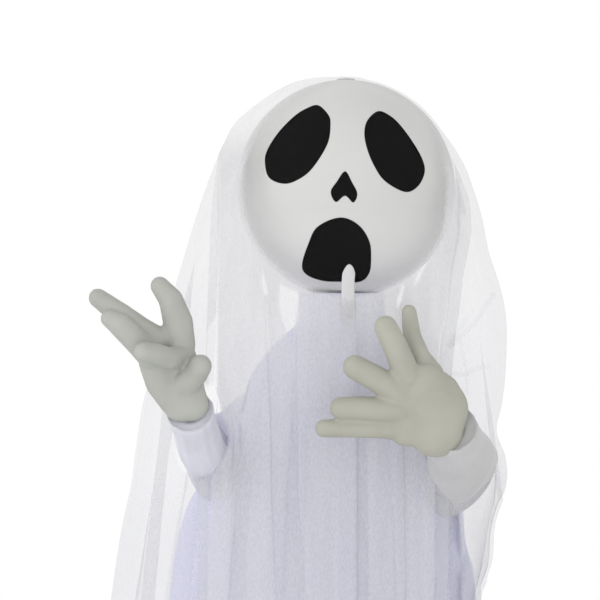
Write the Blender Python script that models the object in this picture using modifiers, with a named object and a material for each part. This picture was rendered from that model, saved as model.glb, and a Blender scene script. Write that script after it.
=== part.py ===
"""An animated ghost figure: a ball head that turns under a sheer veil, posable arms with
moulded hands, a robe, and a battery box, all carried on a floor stand. It faces -Y."""

import math

import bmesh
import bpy
from mathutils import Matrix, Vector

# Fits
SEAT_GAP = 0.0003
RUNNING_GAP = 0.0002
CUT_OVERRUN = 0.006
ROUND_STEPS = 16
FINE_STEPS = 28
SMOOTH_ANGLE = math.radians(35)

# Figure
FIGURE_HEIGHT = 1.22
HEAD_RADIUS = 0.1243
HEAD_WALL = 0.0025
NECK_LENGTH = 0.064
CLOTH_THICKNESS = 0.0012

# Stand
BASE_RADIUS = 0.16
BASE_THICKNESS = 0.004
BASE_EDGE = 0.0015
SOCKET_FLANGE_RADIUS = 0.036
SOCKET_FLANGE_THICKNESS = 0.0035
SOCKET_HEIGHT = 0.062
SOCKET_WALL = 0.0025
POLE_RADIUS = 0.0125
POLE_WALL = 0.0012
POLE_JOINT_HEIGHT = 0.46
JOINER_LENGTH = 0.08
JOINER_WALL = 0.0012
BASE_SCREW_COUNT = 3
BASE_SCREW_CIRCLE = 0.027
SCREW_SHANK_RADIUS = 0.0025
SCREW_HEAD_RADIUS = 0.0045
SCREW_HEAD_HEIGHT = 0.0025
BASE_SCREW_BITE = 0.0025

# Torso
TORSO_WIDTH = 0.126
TORSO_DEPTH = 0.104
TORSO_HEIGHT = 0.19
TORSO_WALL = 0.003
TORSO_ROUND = 0.014
BOSS_RADIUS = 0.0055
BOSS_INSET = 0.013
SHELF_DROP = 0.084
SHELF_WIDTH = 0.08
SHELF_FRONT = 0.028
SHELF_THICKNESS = 0.0025
UPRIGHT_WIDTH = 0.04
UPRIGHT_HEIGHT = 0.06
CAP_FLANGE_RADIUS = 0.024
CAP_FLANGE_THICKNESS = 0.003
CAP_DEPTH = 0.03
CAP_WALL = 0.0025
SPEAKER_RADIUS = 0.021
SPEAKER_DEPTH = 0.013
SPEAKER_MAGNET_RADIUS = 0.011
SPEAKER_RISE = 0.045
GRILLE_SLOTS = 5
GRILLE_SLOT_LENGTH = 0.026
GRILLE_SLOT_WIDTH = 0.0025
GRILLE_PITCH = 0.0065
SHELL_SCREW_LENGTH = 0.03

# Neck and head drive
NECK_SHAFT_RADIUS = 0.006
NECK_SHAFT_DROP = 0.027
NECK_SHAFT_RISE = 0.022
BUSH_WALL = 0.0033
BUSH_FLANGE_RADIUS = 0.016
BUSH_FLANGE_THICKNESS = 0.003
BUSH_TAIL = 0.012
BUSH_HEAD = 0.009
COLLAR_RADIUS = 0.011
COLLAR_HEIGHT = 0.006
NECK_TUBE_RADIUS = 0.041
NECK_TUBE_TOP_RADIUS = 0.037
NECK_TUBE_WALL = 0.002
NECK_TUBE_HEIGHT = 0.046
SOCKET_HOLE_RADIUS = 0.014
SOCKET_RIM_RADIUS = 0.022
SOCKET_RIM_THICKNESS = 0.003
CROWN_HOLE_RADIUS = 0.005
CROWN_RIM_RADIUS = 0.011
CROWN_RIM_THICKNESS = 0.0012

# Gears
GEAR_MODULE = 0.00125
PINION_TEETH = 12
HEAD_GEAR_TEETH = 36
ARM_GEAR_TEETH = 30
GEAR_SECTOR_TEETH = 11
GEAR_WIDTH = 0.006
PRESSURE_ANGLE = math.radians(20)
TOOTH_THICKNESS_SHARE = 0.88
ADDENDUM_SHARE = 0.85
DEDENDUM_SHARE = 1.2
GEAR_DROP = 0.0145
OUTPUT_SHAFT_RADIUS = 0.0025
GEARBOX_SIZE = 0.024
GEARBOX_HEIGHT = 0.02
GEARBOX_ROUND = 0.0015
MOTOR_RADIUS = 0.0115
MOTOR_LENGTH = 0.028
MOTOR_CAP_RADIUS = 0.004
PINION_STANDOFF = 0.004

# Shoulders and arms
SHOULDER_DROP = 0.043
SHOULDER_SHAFT_RADIUS = 0.005
SHOULDER_SHAFT_HALF = 0.09
SHOULDER_HUB_RADIUS = 0.0105
SHOULDER_HUB_WIDTH = 0.012
ARM_GEAR_PLACE = 0.033
LINK_WIDTH = 0.017
LINK_THICKNESS = 0.007
ELBOW_PIN_RADIUS = 0.003
ELBOW_PIN_HEAD_RADIUS = 0.0055
ELBOW_PIN_HEAD_HEIGHT = 0.002
WRIST_PLUG_RADIUS = 0.008
WRIST_PLUG_LENGTH = 0.048
WRIST_PLUG_REACH = 0.006
UPPER_ARM_LENGTH = 0.11
FOREARM_LENGTH = 0.187
# Which way each arm bone points at rest, in shares of its length: across, back and up.
RIGHT_UPPER_ARM_SHARES = (-0.507, -0.175, -0.844)
RIGHT_FOREARM_SHARES = (-0.196, -0.888, 0.416)
LEFT_UPPER_ARM_SHARES = (0.394, -0.192, -0.899)
LEFT_FOREARM_SHARES = (-0.096, -0.931, 0.353)
SLEEVE_RADIUS = 0.038
SLEEVE_ARMHOLE_RADIUS = 0.036
SLEEVE_START_SHARE = 0.35
CUFF_OVERLAP_SHARE = 0.72
CUFF_GATHER_SHARE = 0.3
CUFF_GATHER_POWER = 1.5
SLEEVE_RINGS = 9

# Hands
HAND_LENGTH = 0.178
HAND_VOXEL = 0.0035
HAND_FLAT_SHARE = 0.75
HAND_KEPT_SHARE = 0.11
HAND_SMOOTH_SHARE = 0.5
HAND_SMOOTH_ROUNDS = 6
# Each finger runs from knuckle to tip: right, up, back and thickness, from the wrist.
RIGHT_HAND_SHARES = {
    "index": ((-0.037, 0.345, 0.0, 0.092), (-0.062, 0.511, 0.0, 0.089),
              (-0.080, 0.647, 0.0, 0.080), (-0.154, 0.739, 0.0, 0.071)),
    "middle": ((-0.129, 0.345, 0.0, 0.086), (-0.283, 0.505, 0.0, 0.074),
               (-0.437, 0.628, 0.0, 0.068), (-0.542, 0.684, 0.0, 0.062)),
    "ring": ((-0.191, 0.283, -0.045, 0.086), (-0.333, 0.407, -0.067, 0.080),
             (-0.419, 0.493, -0.079, 0.074), (-0.462, 0.536, -0.079, 0.062)),
    "little": ((-0.148, 0.185, -0.045, 0.080), (-0.129, 0.283, -0.112, 0.068),
               (-0.210, 0.339, -0.213, 0.065), (-0.240, 0.351, -0.258, 0.059)),
    "thumb": ((0.062, 0.080, 0.0, 0.092), (0.111, 0.173, -0.100, 0.080),
              (0.105, 0.246, -0.213, 0.071), (0.099, 0.265, -0.270, 0.065)),
}
RIGHT_PALM_SHARES = (
    (0.006, -0.025, 0.0, 0.074), (-0.012, 0.0, 0.0, 0.117), (-0.086, 0.142, 0.0, 0.123),
    (0.025, 0.142, 0.0, 0.117), (-0.062, 0.283, 0.0, 0.105), (-0.142, 0.154, 0.0, 0.105),
)
LEFT_HAND_SHARES = {
    "index": ((-0.222, 0.246, -0.022, 0.092), (-0.265, 0.370, -0.056, 0.083),
              (-0.320, 0.493, -0.079, 0.077), (-0.376, 0.598, -0.090, 0.071)),
    "middle": ((-0.246, 0.185, 0.0, 0.092), (-0.357, 0.259, -0.045, 0.080),
               (-0.481, 0.320, -0.067, 0.074), (-0.579, 0.370, -0.079, 0.071)),
    "ring": ((-0.265, 0.080, 0.0, 0.086), (-0.388, 0.111, -0.022, 0.074),
             (-0.542, 0.117, -0.034, 0.071), (-0.659, 0.117, -0.034, 0.071)),
    "little": ((-0.265, -0.025, 0.022, 0.080), (-0.388, -0.019, 0.011, 0.065),
               (-0.573, -0.012, 0.0, 0.059), (-0.752, -0.009, 0.0, 0.059)),
    "thumb": ((-0.062, 0.265, 0.067, 0.086), (-0.123, 0.394, 0.100, 0.068),
              (-0.191, 0.542, 0.124, 0.056), (-0.222, 0.702, 0.135, 0.040)),
}
LEFT_PALM_SHARES = (
    (-0.019, -0.025, 0.0, 0.136), (-0.049, 0.111, 0.0, 0.160), (-0.142, 0.173, 0.0, 0.123),
    (-0.200, 0.060, 0.0, 0.110), (-0.142, -0.043, 0.0, 0.105), (-0.068, -0.074, 0.0, 0.123),
)

# Face: outlines seen from the front, in shares of the head's radius from its centre.
FACE_POINT_STEPS = 2
RIGHT_EYE_SHARES = (
    (-0.257, 0.743), (-0.165, 0.651), (-0.147, 0.560), (-0.174, 0.385), (-0.303, 0.174),
    (-0.422, 0.073), (-0.560, 0.028), (-0.700, 0.085), (-0.739, 0.230), (-0.715, 0.345),
    (-0.615, 0.500), (-0.477, 0.642), (-0.362, 0.716),
)
LEFT_EYE_SHARES = (
    (0.284, 0.688), (0.190, 0.610), (0.156, 0.500), (0.174, 0.358), (0.239, 0.193),
    (0.339, 0.050), (0.523, -0.046), (0.642, 0.009), (0.703, 0.138), (0.679, 0.261),
    (0.593, 0.413), (0.477, 0.569), (0.385, 0.651),
)
NOSE_SHARES = (
    (-0.018, 0.138), (-0.092, 0.046), (-0.147, -0.046), (-0.101, -0.138), (-0.018, -0.083),
    (0.055, -0.143), (0.092, -0.064), (0.046, 0.037),
)
MOUTH_SHARES = (
    (-0.064, -0.275), (-0.266, -0.358), (-0.349, -0.514), (-0.404, -0.697), (-0.362, -0.789),
    (-0.220, -0.844), (-0.055, -0.853), (0.119, -0.853), (0.202, -0.780), (0.220, -0.651),
    (0.202, -0.486), (0.101, -0.339),
)
FACE_PANEL_WALL = 0.0018

# Cloth. A row: its height, then how far it reaches right (-X), left (+X), front and back,
# and how much of the full fold depth it shows.
CLOTH_COLUMNS = 32
FOLD_COUNT = 8
VEIL_FOLD_DEPTH = 0.013
ROBE_FOLD_DEPTH = 0.012
VEIL_CAP_ANGLES = (math.radians(6), math.radians(22), math.radians(40))
VEIL_CLEARANCE = 0.0018
VEIL_HEM_REACH = 0.25
ROBE_HEM_REACH = 0.22
# Heights above the head's centre and reaches, all in shares of the head's radius.
VEIL_HEAD_SHARES = (
    (0.574, 1.030, 0.901, 0.869, 0.885, 0.10), (0.300, 1.175, 1.062, 0.994, 1.014, 0.12),
    (0.006, 1.271, 1.175, 1.038, 1.078, 0.16), (-0.344, 1.392, 1.271, 1.048, 1.118, 0.28),
    (-0.987, 1.585, 1.424, 1.080, 1.175, 0.55),
)
# Heights in shares of the shoulder's height, and reaches in shares of the hem's reach.
VEIL_FALL_SHARES = (
    (1.010, 0.904, 0.736, 0.570, 0.620, 0.7), (0.929, 0.952, 0.736, 0.584, 0.640, 0.8),
    (0.836, 1.008, 0.720, 0.612, 0.680, 0.9), (0.724, 1.068, 0.632, 0.650, 0.720, 1.0),
    (0.488, 1.152, 0.780, 0.730, 0.800, 1.0), (0.255, 1.212, 0.872, 0.790, 0.860, 1.0),
    (0.052, 1.248, 0.944, 0.830, 0.900, 1.0),
)
VEIL_SLIT_SHARES = (0.824, 1.022)
VEIL_SLIT_ANGLES = ((math.radians(203), math.radians(247)), (math.radians(293), math.radians(347)))
# Heights above the chest box in shares of its height, and reaches in shares of its width or depth.
ROBE_CHEST_SHARES = (
    (0.161, 0.430, 0.430, 0.481, 0.481, 0.0), (0.040, 0.651, 0.651, 0.654, 0.654, 0.1),
    (-0.128, 0.810, 0.810, 0.750, 0.750, 0.2), (-0.339, 0.889, 0.857, 0.779, 0.779, 0.3),
    (-0.602, 0.937, 0.873, 0.798, 0.798, 0.4), (-0.865, 0.968, 0.889, 0.817, 0.827, 0.5),
)
ROBE_FALL_SHARES = (
    (0.801, 0.682, 0.545, 0.409, 0.409, 0.7), (0.743, 0.864, 0.609, 0.455, 0.455, 0.9),
    (0.604, 0.977, 0.718, 0.545, 0.600, 1.0), (0.395, 1.064, 0.845, 0.645, 0.760, 1.0),
    (0.209, 1.114, 0.936, 0.709, 0.860, 1.0), (0.035, 1.145, 1.000, 0.755, 0.900, 1.0),
)
ROBE_ARMHOLE_SHARES = (0.795, 1.027)
ROBE_ARMHOLE_ANGLES = ((math.radians(147), math.radians(233)), (math.radians(307), math.radians(393)))

# Battery box
BOX_BOTTOM = 0.12
BOX_WIDTH = 0.09
BOX_DEPTH = 0.042
BOX_HEIGHT = 0.1
BOX_WALL = 0.0025
BOX_ROUND = 0.002
BOX_COLLAR_WALL = 0.005
BOX_COLLAR_HEIGHT = 0.03
CELL_COUNT = 3
CELL_RADIUS = 0.00725
CELL_LENGTH = 0.0505
CELL_TIP_RADIUS = 0.0025
CELL_TIP_HEIGHT = 0.0012
CELL_RIB = 0.002
BOARD_WIDTH = 0.07
BOARD_HEIGHT = 0.032
BOARD_THICKNESS = 0.0016
CHIP_SIZE = 0.012
CHIP_THICKNESS = 0.002
DOOR_THICKNESS = 0.0025
HINGE_RADIUS = 0.0028
HINGE_PIN_RADIUS = 0.0012
HINGE_DROP = 0.005
HINGE_KNUCKLE_WIDTH = 0.04
HINGE_EAR_WIDTH = 0.006
EAR_ROOT_SHARE = 0.8
SWITCH_NECK_WIDTH = 0.004
SWITCH_NECK_HEIGHT = 0.005
SWITCH_TRAVEL = 0.005
SWITCH_CAP_WIDTH = 0.009
SWITCH_CAP_HEIGHT = 0.012
SWITCH_CAP_THICKNESS = 0.002
BUTTON_RADIUS = 0.005
BUTTON_FLANGE_RADIUS = 0.0065
BUTTON_FLANGE_THICKNESS = 0.0012
BUTTON_STAND = 0.0025
CONTROL_RISE_SHARE = 0.74
LEAD_RADIUS = 0.0025
LEAD_OFFSET = 0.0195
CLIP_COUNT = 2
CLIP_WALL = 0.002
CLIP_HEIGHT = 0.008

# Worked-out places
HEAD_Z = FIGURE_HEIGHT - CLOTH_THICKNESS - VEIL_CLEARANCE - HEAD_RADIUS
HEAD_CENTRE = Vector((0, 0, HEAD_Z))
TORSO_TOP = HEAD_Z - HEAD_RADIUS - NECK_LENGTH
TORSO_BOTTOM = TORSO_TOP - TORSO_HEIGHT
TORSO_MIDDLE = Vector((0, 0, TORSO_TOP - TORSO_HEIGHT / 2))
SHOULDER_Z = TORSO_TOP - SHOULDER_DROP
SHELF_Z = TORSO_TOP - SHELF_DROP
SOCKET_FOOT = BASE_THICKNESS + SEAT_GAP
POLE_FOOT = SOCKET_FOOT + SOCKET_FLANGE_THICKNESS + SEAT_GAP
POLE_TOP = SHELF_Z - SHELF_THICKNESS - CAP_FLANGE_THICKNESS - SEAT_GAP
HEAD_GEAR_Z = TORSO_TOP - GEAR_DROP - GEAR_WIDTH
PINION_RADIUS = PINION_TEETH * GEAR_MODULE / 2
HEAD_GEAR_RADIUS = HEAD_GEAR_TEETH * GEAR_MODULE / 2
ARM_GEAR_RADIUS = ARM_GEAR_TEETH * GEAR_MODULE / 2
HEAD_PINION_Y = HEAD_GEAR_RADIUS + PINION_RADIUS
ARM_PINION_Z = SHOULDER_Z - ARM_GEAR_RADIUS - PINION_RADIUS
BOX_FRONT = POLE_RADIUS + SEAT_GAP + BOX_WALL
BOX_BACK = BOX_FRONT + BOX_DEPTH
BOX_TOP = BOX_BOTTOM + BOX_HEIGHT
CONTROL_Z = BOX_BOTTOM + BOX_HEIGHT * CONTROL_RISE_SHARE

FIGURE = bpy.data.collections.new("animated_ghost_figure")
CUTTERS = bpy.data.collections.new("cutters")


def clear_scene():
    for obj in list(bpy.data.objects):
        bpy.data.objects.remove(obj)
    for collection in (FIGURE, CUTTERS):
        bpy.context.scene.collection.children.link(collection)
    CUTTERS.hide_render = True


def finish(name, colour, roughness, metallic=0.0):
    material = bpy.data.materials.new(name)
    material.use_nodes = True
    shader = material.node_tree.nodes["Principled BSDF"]
    shader.inputs["Base Color"].default_value = (*colour, 1)
    shader.inputs["Roughness"].default_value = roughness
    shader.inputs["Metallic"].default_value = metallic
    return material


FINISHES = {
    "steel": finish("powder_coated_steel", (0.02, 0.02, 0.022), 0.5, 0.3),
    "zinc": finish("zinc_plated_steel", (0.55, 0.56, 0.58), 0.35, 1.0),
    "tube": finish("white_painted_tube", (0.8, 0.8, 0.8), 0.4, 0.2),
    "plastic": finish("black_plastic", (0.03, 0.03, 0.032), 0.55),
    "pale": finish("white_plastic", (0.75, 0.75, 0.74), 0.45),
    "head": finish("white_head", (0.82, 0.82, 0.81), 0.85),
    "face": finish("black_face", (0.012, 0.011, 0.012), 0.8),
    "gear": finish("natural_nylon", (0.7, 0.68, 0.6), 0.5),
    "hand": finish("grey_green_vinyl", (0.48, 0.48, 0.40), 0.65),
    "robe": finish("white_robe", (0.72, 0.72, 0.82), 0.9),
    "veil": finish("white_veil", (0.85, 0.85, 0.88), 0.9),
    "board": finish("green_board", (0.02, 0.16, 0.06), 0.4),
    "cell": finish("grey_cell", (0.25, 0.26, 0.28), 0.35, 0.6),
}


def place(obj, material, parent=None):
    """Puts an object in the figure, with its finish, keeping where it lies."""
    if obj.name not in FIGURE.objects:
        FIGURE.objects.link(obj)
    obj.data.materials.clear()
    obj.data.materials.append(FINISHES[material])
    if parent:
        obj.parent = parent
        obj.matrix_parent_inverse = parent.matrix_world.inverted()
    return obj


def frame_empty(name, location, parent=None):
    empty = bpy.data.objects.new(name, None)
    FIGURE.objects.link(empty)
    empty.location = location
    bpy.context.view_layer.update()
    if parent:
        empty.parent = parent
        empty.matrix_parent_inverse = parent.matrix_world.inverted()
        bpy.context.view_layer.update()
    return empty


def axis_turn(axis):
    """The turn that brings +Z to the axis."""
    return Vector((0, 0, 1)).rotation_difference(Vector(axis)).to_matrix().to_4x4()


def mesh_object(name, fill, matrix=None):
    mesh = bpy.data.meshes.new(name)
    solid = bmesh.new()
    fill(solid)
    bmesh.ops.recalc_face_normals(solid, faces=solid.faces)
    solid.to_mesh(mesh)
    solid.free()
    obj = bpy.data.objects.new(name, mesh)
    obj.matrix_world = matrix or Matrix.Identity(4)
    return obj


def block(name, size, centre):
    def fill(solid):
        bmesh.ops.create_cube(solid, size=1, matrix=Matrix.Diagonal((*size, 1)))
    return mesh_object(name, fill, Matrix.Translation(centre))


def rod(name, start, end, radius, steps=ROUND_STEPS):
    start, end = Vector(start), Vector(end)
    length = (end - start).length

    def fill(solid):
        bmesh.ops.create_cone(
            solid, cap_ends=True, segments=steps, radius1=radius, radius2=radius, depth=length
        )
    return mesh_object(name, fill, Matrix.Translation((start + end) / 2) @ axis_turn(end - start))


def turned(name, profile, matrix=None, steps=ROUND_STEPS):
    """A turned piece: (radius, height) points down its outer side; a ring if off the axis."""
    mesh = bpy.data.meshes.new(name)
    edges = [(i, i + 1) for i in range(len(profile) - 1)]
    if profile[0][0] > 0 and profile[-1][0] > 0:
        edges.append((len(profile) - 1, 0))
    mesh.from_pydata([(r, 0, z) for r, z in profile], edges, [])
    obj = bpy.data.objects.new(name, mesh)
    obj.matrix_world = matrix or Matrix.Identity(4)
    screw = obj.modifiers.new("turn", "SCREW")
    screw.steps = screw.render_steps = steps
    screw.use_merge_vertices = True
    screw.merge_threshold = SEAT_GAP / ROUND_STEPS
    screw.use_smooth_shade = False
    return obj


def ring_profile(inner, outer, bottom, top):
    return [(outer, top), (outer, bottom), (inner, bottom), (inner, top)]


def soften(obj, width, segments=2):
    bevel = obj.modifiers.new("soft edges", "BEVEL")
    bevel.width = width
    bevel.segments = segments
    bevel.limit_method = "ANGLE"
    bevel.angle_limit = SMOOTH_ANGLE
    return obj


def combine(obj, other, operation="DIFFERENCE"):
    CUTTERS.objects.link(other)
    other.hide_render = True
    other.display_type = "WIRE"
    boolean = obj.modifiers.new(other.name, "BOOLEAN")
    boolean.operation = operation
    boolean.solver = "EXACT"
    boolean.object = other
    return obj


def join(obj, other):
    return combine(obj, other, "UNION")


def settled(obj):
    """The object as its modifiers make it, as a plain mesh, so that it can be reused."""
    if not obj.users_collection:
        CUTTERS.objects.link(obj)
    bpy.context.view_layer.update()
    graph = bpy.context.evaluated_depsgraph_get()
    mesh = bpy.data.meshes.new_from_object(obj.evaluated_get(graph))
    solid = bmesh.new()
    solid.from_mesh(mesh)
    bmesh.ops.remove_doubles(solid, verts=solid.verts, dist=SEAT_GAP / ROUND_STEPS)
    solid.to_mesh(mesh)
    solid.free()
    name, matrix = obj.name, obj.matrix_world.copy()
    bpy.data.objects.remove(obj)
    plain = bpy.data.objects.new(name, mesh)
    plain.matrix_world = matrix
    return plain


def outline(name, loops, thickness, matrix):
    """A flat outline with any holes, thick both ways from its plane."""
    curve = bpy.data.curves.new(name, "CURVE")
    curve.dimensions = "2D"
    curve.fill_mode = "BOTH"
    curve.extrude = thickness / 2
    for loop in loops:
        spline = curve.splines.new("POLY")
        spline.points.add(len(loop) - 1)
        spline.use_cyclic_u = True
        for point, (x, y) in zip(spline.points, loop):
            point.co = (x, y, 0, 1)
    obj = bpy.data.objects.new(name, curve)
    obj.matrix_world = matrix
    return obj


def circle_points(radius, steps, x=0.0, y=0.0):
    turns = [2 * math.pi * i / steps for i in range(steps)]
    return [(x + radius * math.cos(a), y + radius * math.sin(a)) for a in turns]


def round_smooth(obj):
    obj.data.shade_smooth()
    obj.data.set_sharp_from_angle(angle=SMOOTH_ANGLE)
    return obj


def smooth_loop(points, steps):
    """A closed smooth curve through the points."""
    count = len(points)
    curve = []
    for i in range(count):
        a, b, c, d = (Vector(points[(i + k) % count]) for k in (-1, 0, 1, 2))
        for step in range(steps):
            t = step / steps
            curve.append(
                b + ((c - a) * t + (2 * a - 5 * b + 4 * c - d) * t**2
                     + (3 * b - a - 3 * c + d) * t**3) / 2
            )
    return curve


def gear_points(teeth, present):
    """An involute gear's outline, with only the teeth present, centred on +X."""
    pitch = teeth * GEAR_MODULE / 2
    root = pitch - DEDENDUM_SHARE * GEAR_MODULE
    tip = pitch + ADDENDUM_SHARE * GEAR_MODULE
    base = pitch * math.cos(PRESSURE_ANGLE)

    def involute(radius):
        angle = math.acos(min(1, base / radius))
        return math.tan(angle) - angle

    def half_angle(radius):
        half_tooth = math.pi / (2 * teeth) * TOOTH_THICKNESS_SHARE
        return half_tooth + involute(pitch) - involute(max(radius, base))

    points = []
    for tooth in range(teeth):
        centre = 2 * math.pi * tooth / teeth
        wrapped = min(tooth, teeth - tooth)
        if wrapped > present // 2:
            points.append((root, centre))
            continue
        flank = [root, tip]
        points += [(r, centre - half_angle(r)) for r in flank]
        points += [(r, centre + half_angle(r)) for r in reversed(flank)]
    return [(r * math.cos(a), r * math.sin(a)) for r, a in points]


def gear(name, teeth, present, bore, matrix):
    loops = [gear_points(teeth, present), circle_points(bore, ROUND_STEPS)]
    return outline(name, loops, GEAR_WIDTH, matrix)


def screw_piece(name, tip, head, shank):
    """A pan-head screw from its tip up to the seat of its head."""
    tip, head = Vector(tip), Vector(head)
    length = (head - tip).length
    profile = [
        (0, length + SCREW_HEAD_HEIGHT), (SCREW_HEAD_RADIUS, length + SCREW_HEAD_HEIGHT),
        (SCREW_HEAD_RADIUS, length), (shank, length), (shank, 0), (0, 0),
    ]
    return turned(name, profile, Matrix.Translation(tip) @ axis_turn(head - tip), ROUND_STEPS // 2)


def build_stand():
    base = turned("base_plate", [
        (0, BASE_THICKNESS), (BASE_RADIUS - BASE_EDGE, BASE_THICKNESS),
        (BASE_RADIUS, BASE_THICKNESS - BASE_EDGE), (BASE_RADIUS, 0), (0, 0),
    ], steps=FINE_STEPS)
    flange_top = SOCKET_FOOT + SOCKET_FLANGE_THICKNESS
    inner = POLE_RADIUS + SEAT_GAP
    outer = inner + SOCKET_WALL
    socket = turned("pole_socket", [
        (0, flange_top), (inner, flange_top), (inner, SOCKET_FOOT + SOCKET_HEIGHT),
        (outer, SOCKET_FOOT + SOCKET_HEIGHT), (outer, flange_top),
        (SOCKET_FLANGE_RADIUS, flange_top), (SOCKET_FLANGE_RADIUS, SOCKET_FOOT), (0, SOCKET_FOOT),
    ])
    for index in range(BASE_SCREW_COUNT):
        turn = 2 * math.pi * (index + 1 / 2) / BASE_SCREW_COUNT
        x, y = BASE_SCREW_CIRCLE * math.cos(turn), BASE_SCREW_CIRCLE * math.sin(turn)
        seat = flange_top + SEAT_GAP
        tip = BASE_THICKNESS - BASE_SCREW_BITE
        hole = SCREW_SHANK_RADIUS + SEAT_GAP
        combine(base, rod("base_screw_cut", (x, y, tip - SEAT_GAP), (x, y, seat), hole, ROUND_STEPS // 2))
        combine(socket, rod("flange_screw_cut", (x, y, tip), (x, y, seat + CUT_OVERRUN), hole,
                            ROUND_STEPS // 2))
        place(screw_piece(f"base_screw_{index + 1}", (x, y, tip), (x, y, seat), SCREW_SHANK_RADIUS), "zinc")
    place(base, "steel")
    place(socket, "steel")
    bore = POLE_RADIUS - POLE_WALL
    place(turned("pole_lower", ring_profile(bore, POLE_RADIUS, POLE_FOOT, POLE_JOINT_HEIGHT)), "tube")
    place(turned("pole_upper", ring_profile(
        bore, POLE_RADIUS, POLE_JOINT_HEIGHT + SEAT_GAP, POLE_TOP)), "tube")
    joiner = bore - SEAT_GAP
    place(turned("pole_joiner", ring_profile(
        joiner - JOINER_WALL, joiner, POLE_JOINT_HEIGHT - JOINER_LENGTH / 2,
        POLE_JOINT_HEIGHT + JOINER_LENGTH / 2)), "zinc")


def torso_shell(name, side):
    """One moulded half of the chest box: side -1 is the front, +1 the back."""
    size = (TORSO_WIDTH, TORSO_DEPTH, TORSO_HEIGHT)
    hollow = tuple(length - 2 * TORSO_WALL for length in size)
    shell = soften(block(name, size, TORSO_MIDDLE), TORSO_ROUND)
    combine(shell, soften(block(name + "_hollow", hollow, TORSO_MIDDLE), TORSO_ROUND - TORSO_WALL, 2))
    away = (size[0] + CUT_OVERRUN, size[1], size[2] + CUT_OVERRUN)
    middle = TORSO_MIDDLE - Vector((0, side * (TORSO_DEPTH - SEAT_GAP) / 2, 0))
    combine(shell, block(name + "_other_half", away, middle))
    wall_inside = side * (TORSO_DEPTH / 2 - TORSO_WALL / 2)
    for x, z in boss_places():
        join(shell, rod(name + "_boss", (x, side * SEAT_GAP / 2, z), (x, wall_inside, z),
                        BOSS_RADIUS, ROUND_STEPS // 2))
    shell = settled(shell)
    reach = TORSO_WIDTH / 2 + CUT_OVERRUN
    bush = SHOULDER_SHAFT_RADIUS + RUNNING_GAP + BUSH_WALL + SEAT_GAP
    combine(shell, rod(name + "_shaft_cut", (-reach, 0, SHOULDER_Z), (reach, 0, SHOULDER_Z), bush))
    neck = NECK_SHAFT_RADIUS + RUNNING_GAP + BUSH_WALL + SEAT_GAP
    top = TORSO_TOP + CUT_OVERRUN
    combine(shell, rod(name + "_neck_cut", (0, 0, TORSO_TOP - TORSO_WALL - CUT_OVERRUN), (0, 0, top), neck))
    floor = TORSO_BOTTOM + TORSO_WALL + CUT_OVERRUN
    low = TORSO_BOTTOM - CUT_OVERRUN
    combine(shell, rod(name + "_pole_cut", (0, 0, low), (0, 0, floor), POLE_RADIUS + SEAT_GAP))
    hole = SCREW_SHANK_RADIUS + SEAT_GAP
    for x, z in boss_places():
        start = (x, TORSO_DEPTH / 2 + CUT_OVERRUN, z)
        end = (x, TORSO_DEPTH / 2 - shell_screw_reach() - SEAT_GAP, z)
        combine(shell, rod(name + "_screw_cut", start, end, hole, ROUND_STEPS // 2))
        head_end = (x, TORSO_DEPTH / 2 - shell_screw_reach() + SHELL_SCREW_LENGTH - SEAT_GAP, z)
        combine(shell, rod(name + "_head_cut", start, head_end, SCREW_HEAD_RADIUS + SEAT_GAP,
                           ROUND_STEPS // 2))
    return shell


def boss_places():
    across = TORSO_WIDTH / 2 - BOSS_INSET
    up = TORSO_HEIGHT / 2 - BOSS_INSET - BOSS_RADIUS
    return [(side * across, TORSO_MIDDLE.z + side * up) for side in (-1, 1)]


def shell_screw_reach():
    """How far the screw tips lie in front of the back of the chest box."""
    return TORSO_DEPTH / 2 + SHELL_SCREW_LENGTH / 2


def build_torso():
    front = torso_shell("torso_front_shell", -1)
    slot_z = TORSO_BOTTOM + SPEAKER_RISE
    for index in range(GRILLE_SLOTS):
        z = slot_z + (index - (GRILLE_SLOTS - 1) / 2) * GRILLE_PITCH
        size = (GRILLE_SLOT_LENGTH, TORSO_WALL + 2 * CUT_OVERRUN, GRILLE_SLOT_WIDTH)
        combine(front, block("grille_slot", size, (0, -TORSO_DEPTH / 2 + TORSO_WALL / 2, z)))
    place(front, "plastic")
    place(torso_shell("torso_rear_shell", 1), "plastic")
    back = TORSO_DEPTH / 2 - shell_screw_reach()
    for index, (x, z) in enumerate(boss_places()):
        place(screw_piece(f"shell_screw_{index + 1}", (x, back, z), (x, back + SHELL_SCREW_LENGTH, z),
                          SCREW_SHANK_RADIUS), "zinc")
    cone_back = -TORSO_DEPTH / 2 + TORSO_WALL + SEAT_GAP
    speaker = turned("speaker", [
        (0, SPEAKER_DEPTH), (SPEAKER_MAGNET_RADIUS, SPEAKER_DEPTH),
        (SPEAKER_MAGNET_RADIUS, SPEAKER_DEPTH / 2), (SPEAKER_RADIUS, TORSO_WALL),
        (SPEAKER_RADIUS, 0), (0, 0),
    ], Matrix.Translation((0, cone_back, slot_z)) @ axis_turn((0, 1, 0)))
    place(speaker, "plastic")


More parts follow.
